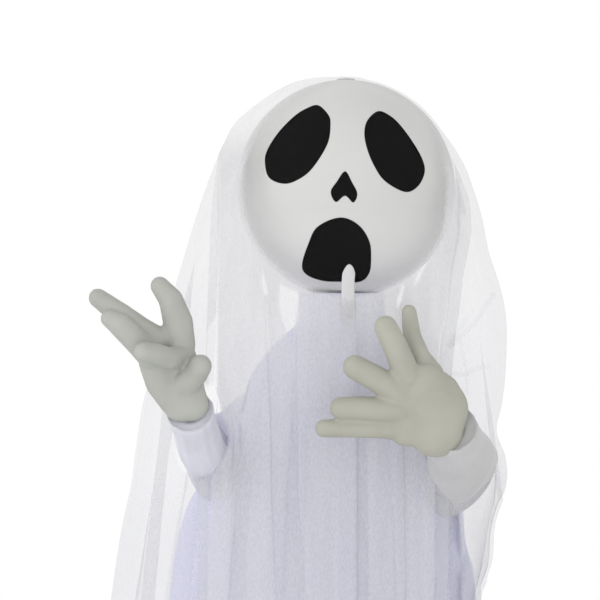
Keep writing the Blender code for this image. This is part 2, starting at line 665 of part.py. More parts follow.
def build_chassis():
    inner = POLE_RADIUS + SEAT_GAP
    flange_foot = POLE_TOP + SEAT_GAP
    flange_top = SHELF_Z - SHELF_THICKNESS / 2
    cap = turned("pole_top_cap", [
        (0, flange_top), (CAP_FLANGE_RADIUS, flange_top), (CAP_FLANGE_RADIUS, flange_foot),
        (inner + CAP_WALL, flange_foot), (inner + CAP_WALL, POLE_TOP - CAP_DEPTH),
        (inner, POLE_TOP - CAP_DEPTH), (inner, flange_foot), (0, flange_foot),
    ])
    upright_y = HEAD_PINION_Y + GEARBOX_SIZE / 2 + SEAT_GAP
    shelf_back = upright_y + SHELF_THICKNESS
    chassis = block("motor_bracket", (SHELF_WIDTH, shelf_back + SHELF_FRONT, SHELF_THICKNESS),
                    (0, (shelf_back - SHELF_FRONT) / 2, SHELF_Z - SHELF_THICKNESS / 2))
    upright = block("bracket_upright", (UPRIGHT_WIDTH, SHELF_THICKNESS, UPRIGHT_HEIGHT + SHELF_THICKNESS),
                    (0, upright_y + SHELF_THICKNESS / 2,
                     SHELF_Z - SHELF_THICKNESS / 2 + UPRIGHT_HEIGHT / 2))
    join(chassis, upright)
    place(join(chassis, cap), "zinc")


def motor(name, gearbox_end, shaft_side, cap):
    """A small motor behind its gearbox; both lie along shaft_side."""
    start = Vector(gearbox_end) - shaft_side * SEAT_GAP
    profile = [
        (0, MOTOR_LENGTH), (MOTOR_RADIUS, MOTOR_LENGTH), (MOTOR_RADIUS, cap),
        (MOTOR_CAP_RADIUS, cap), (MOTOR_CAP_RADIUS, 0), (0, 0),
    ]
    matrix = Matrix.Translation(start - shaft_side * MOTOR_LENGTH) @ axis_turn(shaft_side)
    place(turned(name, profile, matrix, ROUND_STEPS), "zinc")


def drive(kind, gear_middle, shaft_side, body_size):
    """A pinion on its output shaft, the gearbox that turns it, and the motor."""
    shaft_side = Vector(shaft_side)
    box_face = gear_middle - shaft_side * (GEAR_WIDTH / 2 + PINION_STANDOFF)
    box_middle = box_face - shaft_side * GEARBOX_HEIGHT / 2
    pivot = frame_empty(f"{kind}_pinion_axis", gear_middle)
    turn = axis_turn(shaft_side)
    if kind == "head":
        half_tooth = math.pi / PINION_TEETH + math.radians(-90)
    else:
        half_tooth = math.pi / PINION_TEETH
    mesh_turn = Matrix.Translation(gear_middle) @ turn @ Matrix.Rotation(half_tooth, 4, "Z")
    pinion = outline(f"{kind}_pinion", [gear_points(PINION_TEETH, PINION_TEETH)], GEAR_WIDTH, mesh_turn)
    shaft_end = gear_middle + shaft_side * (GEAR_WIDTH / 2 + PINION_STANDOFF / 2)
    shaft_start = box_face - shaft_side * PINION_STANDOFF
    pinion = join(settled(pinion), rod("output_shaft", shaft_start, shaft_end, OUTPUT_SHAFT_RADIUS,
                                       ROUND_STEPS // 2))
    place(pinion, "gear", pivot)
    gearbox = soften(block(f"{kind}_gearbox", body_size, box_middle), GEARBOX_ROUND, 1)
    cut_start = shaft_start - shaft_side * RUNNING_GAP
    combine(gearbox, rod(f"{kind}_gearbox_cut", cut_start, shaft_end,
                         OUTPUT_SHAFT_RADIUS + RUNNING_GAP))
    place(gearbox, "plastic")
    motor(f"{kind}_motor", box_middle - shaft_side * GEARBOX_HEIGHT / 2, shaft_side, PINION_STANDOFF / 2)


def build_drives():
    drive("head", Vector((0, HEAD_PINION_Y, HEAD_GEAR_Z + GEAR_WIDTH / 2)), (0, 0, 1),
          (GEARBOX_SIZE, GEARBOX_SIZE, GEARBOX_HEIGHT))
    drive("arm", Vector((ARM_GEAR_PLACE, 0, ARM_PINION_Z)), (1, 0, 0),
          (GEARBOX_HEIGHT, GEARBOX_SIZE, 2 * (ARM_PINION_Z - SHELF_Z - SEAT_GAP)))


def bush(name, tail, head, bore, matrix):
    """A flanged bearing: tail below its flange's seat, head above it."""
    outer = bore + BUSH_WALL
    seat = SEAT_GAP
    return turned(name, [
        (outer, head), (outer, seat + BUSH_FLANGE_THICKNESS),
        (BUSH_FLANGE_RADIUS, seat + BUSH_FLANGE_THICKNESS), (BUSH_FLANGE_RADIUS, seat),
        (outer, seat), (outer, -tail), (bore, -tail), (bore, head),
    ], matrix)


def build_neck(head_axis):
    bore = NECK_SHAFT_RADIUS + RUNNING_GAP
    place(bush("neck_bush", BUSH_TAIL, BUSH_HEAD, bore, Matrix.Translation((0, 0, TORSO_TOP))), "gear")
    place(turned("neck_tube", [
        (NECK_TUBE_TOP_RADIUS, NECK_TUBE_HEIGHT), (NECK_TUBE_RADIUS, 0),
        (NECK_TUBE_RADIUS - NECK_TUBE_WALL, 0),
        (NECK_TUBE_TOP_RADIUS - NECK_TUBE_WALL, NECK_TUBE_HEIGHT),
    ], Matrix.Translation((0, 0, TORSO_TOP + SEAT_GAP))), "plastic")
    shaft_foot = TORSO_TOP - NECK_SHAFT_DROP
    shaft_top = HEAD_Z - HEAD_RADIUS + NECK_SHAFT_RISE
    place(rod("neck_shaft", (0, 0, shaft_foot), (0, 0, shaft_top), NECK_SHAFT_RADIUS), "zinc", head_axis)
    collar_foot = TORSO_TOP + BUSH_HEAD + SEAT_GAP
    fixed = NECK_SHAFT_RADIUS + SEAT_GAP
    place(turned("shaft_collar", ring_profile(
        fixed, COLLAR_RADIUS, collar_foot, collar_foot + COLLAR_HEIGHT)), "zinc", head_axis)
    matrix = Matrix.Translation((0, 0, HEAD_GEAR_Z + GEAR_WIDTH / 2)) @ Matrix.Rotation(
        math.radians(90), 4, "Z")
    place(gear("head_gear", HEAD_GEAR_TEETH, GEAR_SECTOR_TEETH, fixed, matrix), "gear", head_axis)


def ball_height(radius, ball):
    """How far above the head's centre its surface lies, at this distance from the axis."""
    return math.sqrt(ball**2 - radius**2)


def build_head(head_axis):
    inside = HEAD_RADIUS - HEAD_WALL
    # A rimmed bush and a rivet hold the two halves together below and at the crown.
    outer_seat = HEAD_Z - ball_height(SOCKET_HOLE_RADIUS, HEAD_RADIUS) - SEAT_GAP
    facet_rise = inside * (1 - math.cos(math.pi / FINE_STEPS))
    inner_seat = HEAD_Z - ball_height(SOCKET_RIM_RADIUS, inside) + facet_rise + SEAT_GAP
    bore = NECK_SHAFT_RADIUS + SEAT_GAP
    groove = SOCKET_HOLE_RADIUS - SEAT_GAP
    place(turned("head_socket", [
        (SOCKET_RIM_RADIUS, inner_seat + SOCKET_RIM_THICKNESS), (SOCKET_RIM_RADIUS, inner_seat),
        (groove, inner_seat), (groove, outer_seat), (SOCKET_RIM_RADIUS, outer_seat),
        (SOCKET_RIM_RADIUS, outer_seat - SOCKET_RIM_THICKNESS), (bore, outer_seat - SOCKET_RIM_THICKNESS),
        (bore, inner_seat + SOCKET_RIM_THICKNESS),
    ]), "plastic", head_axis)
    rivet_out = HEAD_Z + HEAD_RADIUS + SEAT_GAP
    rivet_in = HEAD_Z + ball_height(CROWN_RIM_RADIUS, inside) - facet_rise - SEAT_GAP
    rivet_shank = CROWN_HOLE_RADIUS - SEAT_GAP
    place(turned("crown_rivet", [
        (0, rivet_out + CROWN_RIM_THICKNESS), (CROWN_RIM_RADIUS, rivet_out + CROWN_RIM_THICKNESS / 2),
        (CROWN_RIM_RADIUS, rivet_out), (rivet_shank, rivet_out), (rivet_shank, rivet_in),
        (CROWN_RIM_RADIUS, rivet_in), (CROWN_RIM_RADIUS, rivet_in - CROWN_RIM_THICKNESS),
        (0, rivet_in - CROWN_RIM_THICKNESS),
    ]), "pale", head_axis)
    front = half_ball("head_front_shell", -1)
    rear = half_ball("head_rear_shell", 1)
    place(rear, "head", head_axis)
    for name, shares in (("right_eye", RIGHT_EYE_SHARES), ("left_eye", LEFT_EYE_SHARES),
                         ("nose", NOSE_SHARES), ("mouth", MOUTH_SHARES)):
        combine(front, face_prism(name + "_opening", shares, 0))
        place(face_panel(name + "_panel", shares), "face", head_axis)
    place(front, "head", head_axis)


def ball_points(radius, steps=FINE_STEPS):
    """The half circle from crown to foot, for a turned ball."""
    arc = [math.pi * i / (steps // 2) for i in range(steps // 2 + 1)]
    return [(radius * math.sin(a), radius * math.cos(a)) for a in arc]


def ball(name, radius):
    profile = ball_points(radius)
    profile[0] = (0, radius)
    profile[-1] = (0, -radius)
    return turned(name, profile, Matrix.Translation(HEAD_CENTRE), FINE_STEPS)


def half_ball(name, side):
    shell = ball(name, HEAD_RADIUS)
    combine(shell, ball(name + "_hollow", HEAD_RADIUS - HEAD_WALL))
    away = HEAD_RADIUS * 2 + CUT_OVERRUN
    combine(shell, block(name + "_other_half", (away, away, away),
                         HEAD_CENTRE - Vector((0, side * (away - SEAT_GAP) / 2, 0))))
    foot = HEAD_CENTRE - Vector((0, 0, HEAD_RADIUS + CUT_OVERRUN))
    crown = HEAD_CENTRE + Vector((0, 0, HEAD_RADIUS + CUT_OVERRUN))
    combine(shell, rod(name + "_foot_cut", foot, HEAD_CENTRE, SOCKET_HOLE_RADIUS))
    combine(shell, rod(name + "_crown_cut", crown, HEAD_CENTRE, CROWN_HOLE_RADIUS))
    return round_smooth(settled(shell))


def face_prism(name, shares, margin):
    """A prism along the view, through the face's outline drawn in by the margin."""
    points = [HEAD_RADIUS * point for point in smooth_loop(shares, FACE_POINT_STEPS)]
    middle = sum(points, Vector((0, 0))) / len(points)
    drawn = []
    for point in points:
        out = point - middle
        drawn.append(middle + out * (1 - margin / out.length))
    depth = HEAD_RADIUS + CUT_OVERRUN
    matrix = Matrix.Translation(HEAD_CENTRE - Vector((0, depth / 2, 0))) @ Matrix.Rotation(
        math.radians(90), 4, "X")
    return settled(outline(name, [[tuple(point) for point in drawn]], depth, matrix))


def face_panel(name, shares):
    panel = ball(name, HEAD_RADIUS - (HEAD_WALL - FACE_PANEL_WALL))
    combine(panel, ball(name + "_hollow", HEAD_RADIUS - HEAD_WALL))
    combine(panel, face_prism(name + "_shape", shares, SEAT_GAP), "INTERSECT")
    return round_smooth(settled(panel))


def build_shoulders(arm_axis):
    reach = SHOULDER_SHAFT_HALF
    place(rod("shoulder_shaft", (-reach, 0, SHOULDER_Z), (reach, 0, SHOULDER_Z), SHOULDER_SHAFT_RADIUS),
          "zinc", arm_axis)
    bore = SHOULDER_SHAFT_RADIUS + RUNNING_GAP
    for name, side in (("right", -1), ("left", 1)):
        matrix = Matrix.Translation((side * TORSO_WIDTH / 2, 0, SHOULDER_Z)) @ axis_turn((side, 0, 0))
        head = SEAT_GAP + BUSH_FLANGE_THICKNESS + SEAT_GAP
        place(bush(f"{name}_shoulder_bush", 2 * TORSO_WALL, head, bore, matrix), "gear")
    matrix = Matrix.Translation((ARM_GEAR_PLACE, 0, SHOULDER_Z)) @ axis_turn((1, 0, 0))
    place(gear("arm_gear", ARM_GEAR_TEETH, GEAR_SECTOR_TEETH, SHOULDER_SHAFT_RADIUS + SEAT_GAP,
               matrix), "gear", arm_axis)


def stadium(start, end, width, hole_places, hole_radius):
    """A bar's outline from start to end along X, with round ends and its holes."""
    radius = width / 2
    half = ROUND_STEPS // 2
    far = [(end + radius * math.sin(math.pi * i / half), -radius * math.cos(math.pi * i / half))
           for i in range(half + 1)]
    near = [(start - radius * math.sin(math.pi * i / half), radius * math.cos(math.pi * i / half))
            for i in range(half + 1)]
    return [far + near] + [circle_points(hole_radius, ROUND_STEPS, x) for x in hole_places]


def bar_matrix(start, end, normal, offset):
    """A frame at start: X towards end, Z along the normal, moved by offset along it."""
    along = (end - start).normalized()
    across = normal.cross(along).normalized()
    turn = Matrix((along, across, normal)).transposed().to_4x4()
    return Matrix.Translation(start + normal * offset) @ turn


def arm_places(side, upper_shares, forearm_shares):
    """Where the shoulder, elbow and wrist of one side lie."""
    shoulder = Vector((side * (SHOULDER_SHAFT_HALF - SHOULDER_HUB_WIDTH / 2), 0, SHOULDER_Z))
    elbow = shoulder + UPPER_ARM_LENGTH * Vector(upper_shares).normalized()
    wrist = elbow + FOREARM_LENGTH * Vector(forearm_shares).normalized()
    return shoulder, elbow, wrist


def build_arm(side_name, shoulder, elbow, wrist, arm_axis):
    normal = (elbow - shoulder).cross(wrist - elbow).normalized()
    offset = (LINK_THICKNESS + SEAT_GAP) / 2
    pin_hole = ELBOW_PIN_RADIUS + RUNNING_GAP
    upper_length = (elbow - shoulder).length
    upper = settled(outline(
        f"{side_name}_upper_arm", stadium(0, upper_length, LINK_WIDTH, [upper_length], pin_hole),
        LINK_THICKNESS, bar_matrix(shoulder, elbow, normal, -offset)))
    hub_half = Vector((SHOULDER_HUB_WIDTH / 2, 0, 0))
    join(upper, rod("shoulder_hub", shoulder - hub_half, shoulder + hub_half, SHOULDER_HUB_RADIUS))
    bore_half = Vector((SHOULDER_HUB_WIDTH + CUT_OVERRUN, 0, 0))
    combine(upper, rod("shoulder_bore", shoulder - bore_half, shoulder + bore_half,
                       SHOULDER_SHAFT_RADIUS + SEAT_GAP))
    place(upper, "plastic", arm_axis)
    pin_half = LINK_THICKNESS + SEAT_GAP * 3 / 2
    seat = normal * pin_half
    head = normal * ELBOW_PIN_HEAD_HEIGHT
    pin_length = 2 * pin_half
    matrix = Matrix.Translation(elbow - seat) @ axis_turn(normal)
    place(turned(f"{side_name}_elbow_pin", [
        (0, pin_length + head.length), (ELBOW_PIN_HEAD_RADIUS, pin_length + head.length),
        (ELBOW_PIN_HEAD_RADIUS, pin_length), (ELBOW_PIN_RADIUS, pin_length), (ELBOW_PIN_RADIUS, 0),
        (ELBOW_PIN_HEAD_RADIUS, 0), (ELBOW_PIN_HEAD_RADIUS, -head.length), (0, -head.length),
    ], matrix, ROUND_STEPS // 2), "zinc", arm_axis)

    elbow_axis = frame_empty(f"{side_name}_elbow_axis", elbow, arm_axis)
    along = (wrist - elbow).normalized()
    fore_length = (wrist - elbow).length - WRIST_PLUG_LENGTH - LINK_WIDTH / 2
    forearm = settled(outline(
        f"{side_name}_forearm", stadium(0, fore_length, LINK_WIDTH, [0], pin_hole),
        LINK_THICKNESS, bar_matrix(elbow, wrist, normal, offset)))
    plug_start = wrist - along * (WRIST_PLUG_LENGTH + LINK_WIDTH)
    plug_end = wrist + along * WRIST_PLUG_REACH
    join(forearm, rod("wrist_plug", plug_start, plug_end, WRIST_PLUG_RADIUS))
    place(forearm, "plastic", elbow_axis)
    return elbow_axis


def hand_mesh(name, fingers, palm, wrist):
    """Overlapping balls and cones along each finger and in the palm."""
    def ball_at(solid, place_share, flat):
        x, z, y, r = (HAND_LENGTH * share for share in place_share)
        matrix = Matrix.Translation((x, y, z)) @ Matrix.Diagonal((1, flat, 1, 1))
        bmesh.ops.create_uvsphere(solid, u_segments=16, v_segments=10, radius=r, matrix=matrix)

    def cone_between(solid, a, b, flat):
        xa, za, ya, ra = (HAND_LENGTH * share for share in a)
        xb, zb, yb, rb = (HAND_LENGTH * share for share in b)
        start, end = Vector((xa, ya, za)), Vector((xb, yb, zb))
        matrix = Matrix.Translation((start + end) / 2) @ axis_turn(end - start)
        matrix = Matrix.Diagonal((1, flat, 1, 1)) @ matrix
        bmesh.ops.create_cone(solid, cap_ends=True, segments=16, radius1=ra, radius2=rb,
                              depth=(end - start).length, matrix=matrix)

    def fill(solid):
        for chain in fingers.values():
            root = min(palm, key=lambda share: math.dist(share[:3], chain[0][:3]))
            cone_between(solid, root, chain[0], HAND_FLAT_SHARE)
            for share in chain:
                ball_at(solid, share, 1)
            for a, b in zip(chain, chain[1:]):
                cone_between(solid, a, b, 1)
        for share in palm:
            ball_at(solid, share, HAND_FLAT_SHARE)
        for a, b in zip(palm, palm[1:]):
            cone_between(solid, a, b, HAND_FLAT_SHARE)

    hand = mesh_object(name, fill, Matrix.Translation(wrist))
    remesh = hand.modifiers.new("one skin", "REMESH")
    remesh.mode = "VOXEL"
    remesh.voxel_size = HAND_VOXEL
    smooth = hand.modifiers.new("smooth skin", "SMOOTH")
    smooth.factor = HAND_SMOOTH_SHARE
    smooth.iterations = HAND_SMOOTH_ROUNDS
    thin = hand.modifiers.new("fewer faces", "DECIMATE")
    thin.ratio = HAND_KEPT_SHARE
    return settled(hand)


def build_hand(side_name, fingers, palm, elbow, wrist, elbow_axis):
    along = (wrist - elbow).normalized()
    hand = hand_mesh(f"{side_name}_hand", fingers, palm, wrist)
    open_end = wrist - along * WRIST_PLUG_LENGTH
    socket_end = wrist + along * (WRIST_PLUG_REACH + SEAT_GAP)
    combine(hand, rod("hand_socket", open_end, socket_end, WRIST_PLUG_RADIUS + SEAT_GAP))
    wrist_axis = frame_empty(f"{side_name}_wrist_axis", wrist, elbow_axis)
    place(hand, "hand", wrist_axis)


def sleeve(side_name, shoulder, elbow, wrist, arm_axis):
    """A hanging sleeve round the arm, gathered to the wrist plug."""
    along = (wrist - elbow).normalized()
    start = shoulder.lerp(elbow, SLEEVE_START_SHARE)
    cuff = wrist - along * WRIST_PLUG_LENGTH * CUFF_OVERLAP_SHARE
    bend = elbow * 2 - (start + cuff) / 2
    plug_radius = WRIST_PLUG_RADIUS + SEAT_GAP * 3
    curve = bpy.data.curves.new(f"{side_name}_sleeve", "CURVE")
    curve.dimensions = "3D"
    curve.bevel_depth = 1
    curve.bevel_resolution = 3
    curve.use_fill_caps = False
    spline = curve.splines.new("POLY")
    spline.points.add(SLEEVE_RINGS)
    for index in range(SLEEVE_RINGS + 1):
        t = index / SLEEVE_RINGS
        place_at = start * (1 - t) ** 2 + bend * 2 * t * (1 - t) + cuff * t**2
        swell = SLEEVE_ARMHOLE_RADIUS * (1 - t) + SLEEVE_RADIUS * t
        gathered = max(0, 1 - (1 - t) / CUFF_GATHER_SHARE) ** CUFF_GATHER_POWER
        spline.points[index].co = (*place_at, 1)
        spline.points[index].radius = swell * (1 - gathered) + plug_radius * gathered
    obj = settled(bpy.data.objects.new(f"{side_name}_sleeve", curve))
    skin = obj.modifiers.new("cloth", "SOLIDIFY")
    skin.thickness = CLOTH_THICKNESS
    skin.offset = 1
    place(obj, "robe", arm_axis)


def cloth_rows(shares, foot, height, across, along, fold_depth):
    """Real rows from a table of shares: heights above foot, then reaches, then fold depth."""
    return [
        (foot + up * height, right * across, left * across, front * along, back * along, fold * fold_depth)
        for up, right, left, front, back, fold in shares
    ]


def cloth_ring(row):
    z, right, left, front, back, ripple = row
    middle = (left - right) / 2
    half = (left + right) / 2
    points = []
    for column in range(CLOTH_COLUMNS):
        turn = 2 * math.pi * column / CLOTH_COLUMNS
        wave = 1 + ripple * math.cos(FOLD_COUNT * turn) / half
        depth = back if math.sin(turn) > 0 else front
        points.append((middle + half * wave * math.cos(turn), depth * wave * math.sin(turn), z))
    return points


def cloth(name, top_rings, rows, hole_heights, hole_angles, crown=None):
    """A hanging cloth: rings of points round the figure, skinned, with its openings left out."""
    def is_open(z, turn):
        inside = [low <= turn <= high or low <= turn + 2 * math.pi <= high for low, high in hole_angles]
        return hole_heights[0] < z < hole_heights[1] and any(inside)

    mesh = bpy.data.meshes.new(name)
    solid = bmesh.new()
    rings = top_rings + [cloth_ring(row) for row in rows]
    made = [[solid.verts.new(point) for point in points] for points in rings]
    for upper, lower in zip(made, made[1:]):
        for column in range(CLOTH_COLUMNS):
            beside = (column + 1) % CLOTH_COLUMNS
            turn = 2 * math.pi * (column + 1 / 2) / CLOTH_COLUMNS
            if not is_open((upper[0].co.z + lower[0].co.z) / 2, turn):
                solid.faces.new((upper[column], lower[column], lower[beside], upper[beside]))
    if crown:
        top = solid.verts.new(crown)
        for column in range(CLOTH_COLUMNS):
            solid.faces.new((top, made[0][column], made[0][(column + 1) % CLOTH_COLUMNS]))
    bmesh.ops.recalc_face_normals(solid, faces=solid.faces)
    solid.to_mesh(mesh)
    solid.free()
    obj = bpy.data.objects.new(name, mesh)
    skin = obj.modifiers.new("cloth", "SOLIDIFY")
    skin.thickness = CLOTH_THICKNESS
    skin.offset = 1
    obj.data.shade_smooth()
    return obj


def build_cloth(head_axis):
    rest = HEAD_RADIUS + VEIL_CLEARANCE
    caps = []
    for angle in VEIL_CAP_ANGLES:
        z, radius = HEAD_Z + rest * math.cos(angle), rest * math.sin(angle)
        caps.append([(x, y, z) for x, y in circle_points(radius, CLOTH_COLUMNS)])
    rows = cloth_rows(VEIL_HEAD_SHARES, HEAD_Z, HEAD_RADIUS, HEAD_RADIUS, HEAD_RADIUS, VEIL_FOLD_DEPTH)
    rows += cloth_rows(VEIL_FALL_SHARES, 0, SHOULDER_Z, VEIL_HEM_REACH, VEIL_HEM_REACH, VEIL_FOLD_DEPTH)
    slit = [SHOULDER_Z * share for share in VEIL_SLIT_SHARES]
    place(cloth("outer_veil", caps, rows, slit, VEIL_SLIT_ANGLES, (0, 0, HEAD_Z + rest)), "veil", head_axis)
    top = TORSO_TOP + SEAT_GAP + NECK_TUBE_HEIGHT
    collar = circle_points(NECK_TUBE_TOP_RADIUS + SEAT_GAP, CLOTH_COLUMNS)
    rows = cloth_rows(ROBE_CHEST_SHARES, TORSO_TOP, TORSO_HEIGHT, TORSO_WIDTH, TORSO_DEPTH, ROBE_FOLD_DEPTH)
    rows += cloth_rows(ROBE_FALL_SHARES, 0, SHOULDER_Z, ROBE_HEM_REACH, ROBE_HEM_REACH, ROBE_FOLD_DEPTH)
    armhole = [SHOULDER_Z * share for share in ROBE_ARMHOLE_SHARES]
    place(cloth("inner_robe", [[(x, y, top) for x, y in collar]], rows, armhole, ROBE_ARMHOLE_ANGLES),
          "robe")


def build_battery_box():
    middle = Vector((0, (BOX_FRONT + BOX_BACK) / 2, BOX_BOTTOM + BOX_HEIGHT / 2))
    box = soften(block("battery_box", (BOX_WIDTH, BOX_DEPTH, BOX_HEIGHT), middle), BOX_ROUND, 1)
    hollow = (BOX_WIDTH - 2 * BOX_WALL, BOX_DEPTH, BOX_HEIGHT - 2 * BOX_WALL)
    combine(box, block("box_hollow", hollow, middle + Vector((0, BOX_WALL, 0))))
    collar_low, collar_high = (middle.z + k * BOX_COLLAR_HEIGHT / 2 for k in (-1, 1))
    collar = POLE_RADIUS + SEAT_GAP + BOX_COLLAR_WALL
    join(box, rod("box_collar", (0, 0, collar_low), (0, 0, collar_high), collar))
    combine(box, block("collar_inside", hollow, middle + Vector((0, BOX_WALL, 0))))
    combine(box, rod("collar_bore", (0, 0, collar_low - CUT_OVERRUN), (0, 0, collar_high + CUT_OVERRUN),
                     POLE_RADIUS + SEAT_GAP))
    rib_height = CELL_COUNT * (2 * CELL_RADIUS + SEAT_GAP)
    rib_x = CELL_LENGTH / 2 + CELL_TIP_HEIGHT + SEAT_GAP + CELL_RIB / 2
    inner_front = BOX_FRONT + BOX_WALL
    inner_floor = BOX_BOTTOM + BOX_WALL
    for x in (-rib_x, rib_x):
        size = (CELL_RIB, 2 * CELL_RADIUS + BOX_WALL, rib_height + BOX_WALL)
        rib = block("cell_rib", size, (x, inner_front + size[1] / 2 - BOX_WALL / 2,
                                       inner_floor + size[2] / 2 - BOX_WALL / 2))
        join(box, rib)
    hinge_z = BOX_BOTTOM - HINGE_DROP + HINGE_RADIUS
    hinge_y = BOX_BACK + SEAT_GAP + HINGE_RADIUS
    ear_x = HINGE_KNUCKLE_WIDTH / 2 + SEAT_GAP + HINGE_EAR_WIDTH / 2
    for side in (-1, 1):
        inner = side * (ear_x - HINGE_EAR_WIDTH / 2)
        outer = side * (ear_x + HINGE_EAR_WIDTH / 2)
        join(box, rod("hinge_ear", (inner, hinge_y, hinge_z), (outer, hinge_y, hinge_z), HINGE_RADIUS,
                      ROUND_STEPS // 2))
        root_low = hinge_z - HINGE_RADIUS * EAR_ROOT_SHARE
        root_high = BOX_BOTTOM + BOX_WALL / 2
        root = (HINGE_EAR_WIDTH * EAR_ROOT_SHARE, hinge_y - BOX_BACK + 2 * BOX_ROUND, root_high - root_low)
        join(box, block("ear_root", root, (side * ear_x, hinge_y - root[1] / 2,
                                           (root_high + root_low) / 2)))
    pin_reach = ear_x + HINGE_EAR_WIDTH / 2
    combine(box, rod("hinge_cut", (-pin_reach - CUT_OVERRUN, hinge_y, hinge_z),
                     (pin_reach + CUT_OVERRUN, hinge_y, hinge_z), HINGE_PIN_RADIUS + RUNNING_GAP,
                     ROUND_STEPS // 2))
    side_wall = BOX_WIDTH / 2
    slot = (BOX_WALL + 2 * CUT_OVERRUN, SWITCH_NECK_WIDTH + 2 * SEAT_GAP,
            SWITCH_NECK_HEIGHT + SWITCH_TRAVEL + 2 * SEAT_GAP)
    combine(box, block("switch_slot", slot, (side_wall, middle.y, CONTROL_Z + SWITCH_TRAVEL / 2)))
    combine(box, rod("button_hole", (-side_wall - CUT_OVERRUN, middle.y, CONTROL_Z),
                     (-side_wall + BOX_WALL + CUT_OVERRUN, middle.y, CONTROL_Z),
                     BUTTON_RADIUS + RUNNING_GAP))
    place(box, "plastic")
    build_cells(inner_front, inner_floor)
    build_door(pin_reach, hinge_y, hinge_z)
    build_controls(middle, inner_front)


def build_cells(inner_front, inner_floor):
    for index in range(CELL_COUNT):
        z = inner_floor + SEAT_GAP + CELL_RADIUS + index * (2 * CELL_RADIUS + SEAT_GAP)
        side = 1 if index % 2 else -1
        half = CELL_LENGTH / 2
        profile = [
            (0, half + CELL_TIP_HEIGHT), (CELL_TIP_RADIUS, half + CELL_TIP_HEIGHT), (CELL_TIP_RADIUS, half),
            (CELL_RADIUS, half), (CELL_RADIUS, -half), (0, -half),
        ]
        matrix = Matrix.Translation((0, inner_front + SEAT_GAP + CELL_RADIUS, z)) @ axis_turn((side, 0, 0))
        place(turned(f"cell_{index + 1}", profile, matrix, ROUND_STEPS // 2), "cell")


def build_door(pin_reach, hinge_y, hinge_z):
    door_axis = frame_empty("battery_door_axis", (0, hinge_y, hinge_z))
    low = BOX_BOTTOM + HINGE_RADIUS + SEAT_GAP
    high = BOX_TOP
    size = (BOX_WIDTH, DOOR_THICKNESS, high - low)
    door = block("battery_door", size, (0, BOX_BACK + SEAT_GAP + DOOR_THICKNESS / 2, (low + high) / 2))
    half = HINGE_KNUCKLE_WIDTH / 2
    join(door, rod("door_knuckle", (-half, hinge_y, hinge_z), (half, hinge_y, hinge_z), HINGE_RADIUS,
                   ROUND_STEPS // 2))
    tab_top = low + DOOR_THICKNESS
    join(door, block("door_tab", (HINGE_KNUCKLE_WIDTH, DOOR_THICKNESS, tab_top - hinge_z),
                     (0, BOX_BACK + SEAT_GAP + DOOR_THICKNESS / 2, (tab_top + hinge_z) / 2)))
    join(door, rod("door_pin", (-pin_reach, hinge_y, hinge_z), (pin_reach, hinge_y, hinge_z),
                   HINGE_PIN_RADIUS, ROUND_STEPS // 2))
    place(door, "plastic", door_axis)


def build_controls(middle, inner_front):
    board_z = BOX_TOP - BOX_WALL - SEAT_GAP - BOARD_HEIGHT / 2
    board_y = inner_front + SEAT_GAP + BOARD_THICKNESS / 2
    board = block("control_board", (BOARD_WIDTH, BOARD_THICKNESS, BOARD_HEIGHT), (0, board_y, board_z))
    chip_y = board_y + CHIP_THICKNESS / 2
    join(board, block("chip", (CHIP_SIZE, BOARD_THICKNESS + CHIP_THICKNESS, CHIP_SIZE),
                      (0, chip_y, board_z)))
    place(board, "board")
    wall = BOX_WIDTH / 2
    switch_axis = frame_empty("power_switch_axis", (wall, middle.y, CONTROL_Z))
    cap_x = wall + SEAT_GAP + SWITCH_CAP_THICKNESS / 2
    switch = block("power_switch", (SWITCH_CAP_THICKNESS, SWITCH_CAP_WIDTH, SWITCH_CAP_HEIGHT),
                   (cap_x, middle.y, CONTROL_Z))
    neck_inner = wall - BOX_WALL - SWITCH_CAP_THICKNESS
    join(switch, block("switch_neck", (cap_x - neck_inner, SWITCH_NECK_WIDTH, SWITCH_NECK_HEIGHT),
                       ((cap_x + neck_inner) / 2, middle.y, CONTROL_Z)))
    place(switch, "pale", switch_axis)
    button_axis = frame_empty("demo_button_axis", (-wall, middle.y, CONTROL_Z))
    flange_top = -BOX_WALL - SEAT_GAP
    button = turned("demo_button", [
        (0, BUTTON_STAND), (BUTTON_RADIUS, BUTTON_STAND), (BUTTON_RADIUS, flange_top),
        (BUTTON_FLANGE_RADIUS, flange_top), (BUTTON_FLANGE_RADIUS, flange_top - BUTTON_FLANGE_THICKNESS),
        (0, flange_top - BUTTON_FLANGE_THICKNESS),
    ], Matrix.Translation((-wall, middle.y, CONTROL_Z)) @ axis_turn((-1, 0, 0)))
    place(button, "pale", button_axis)


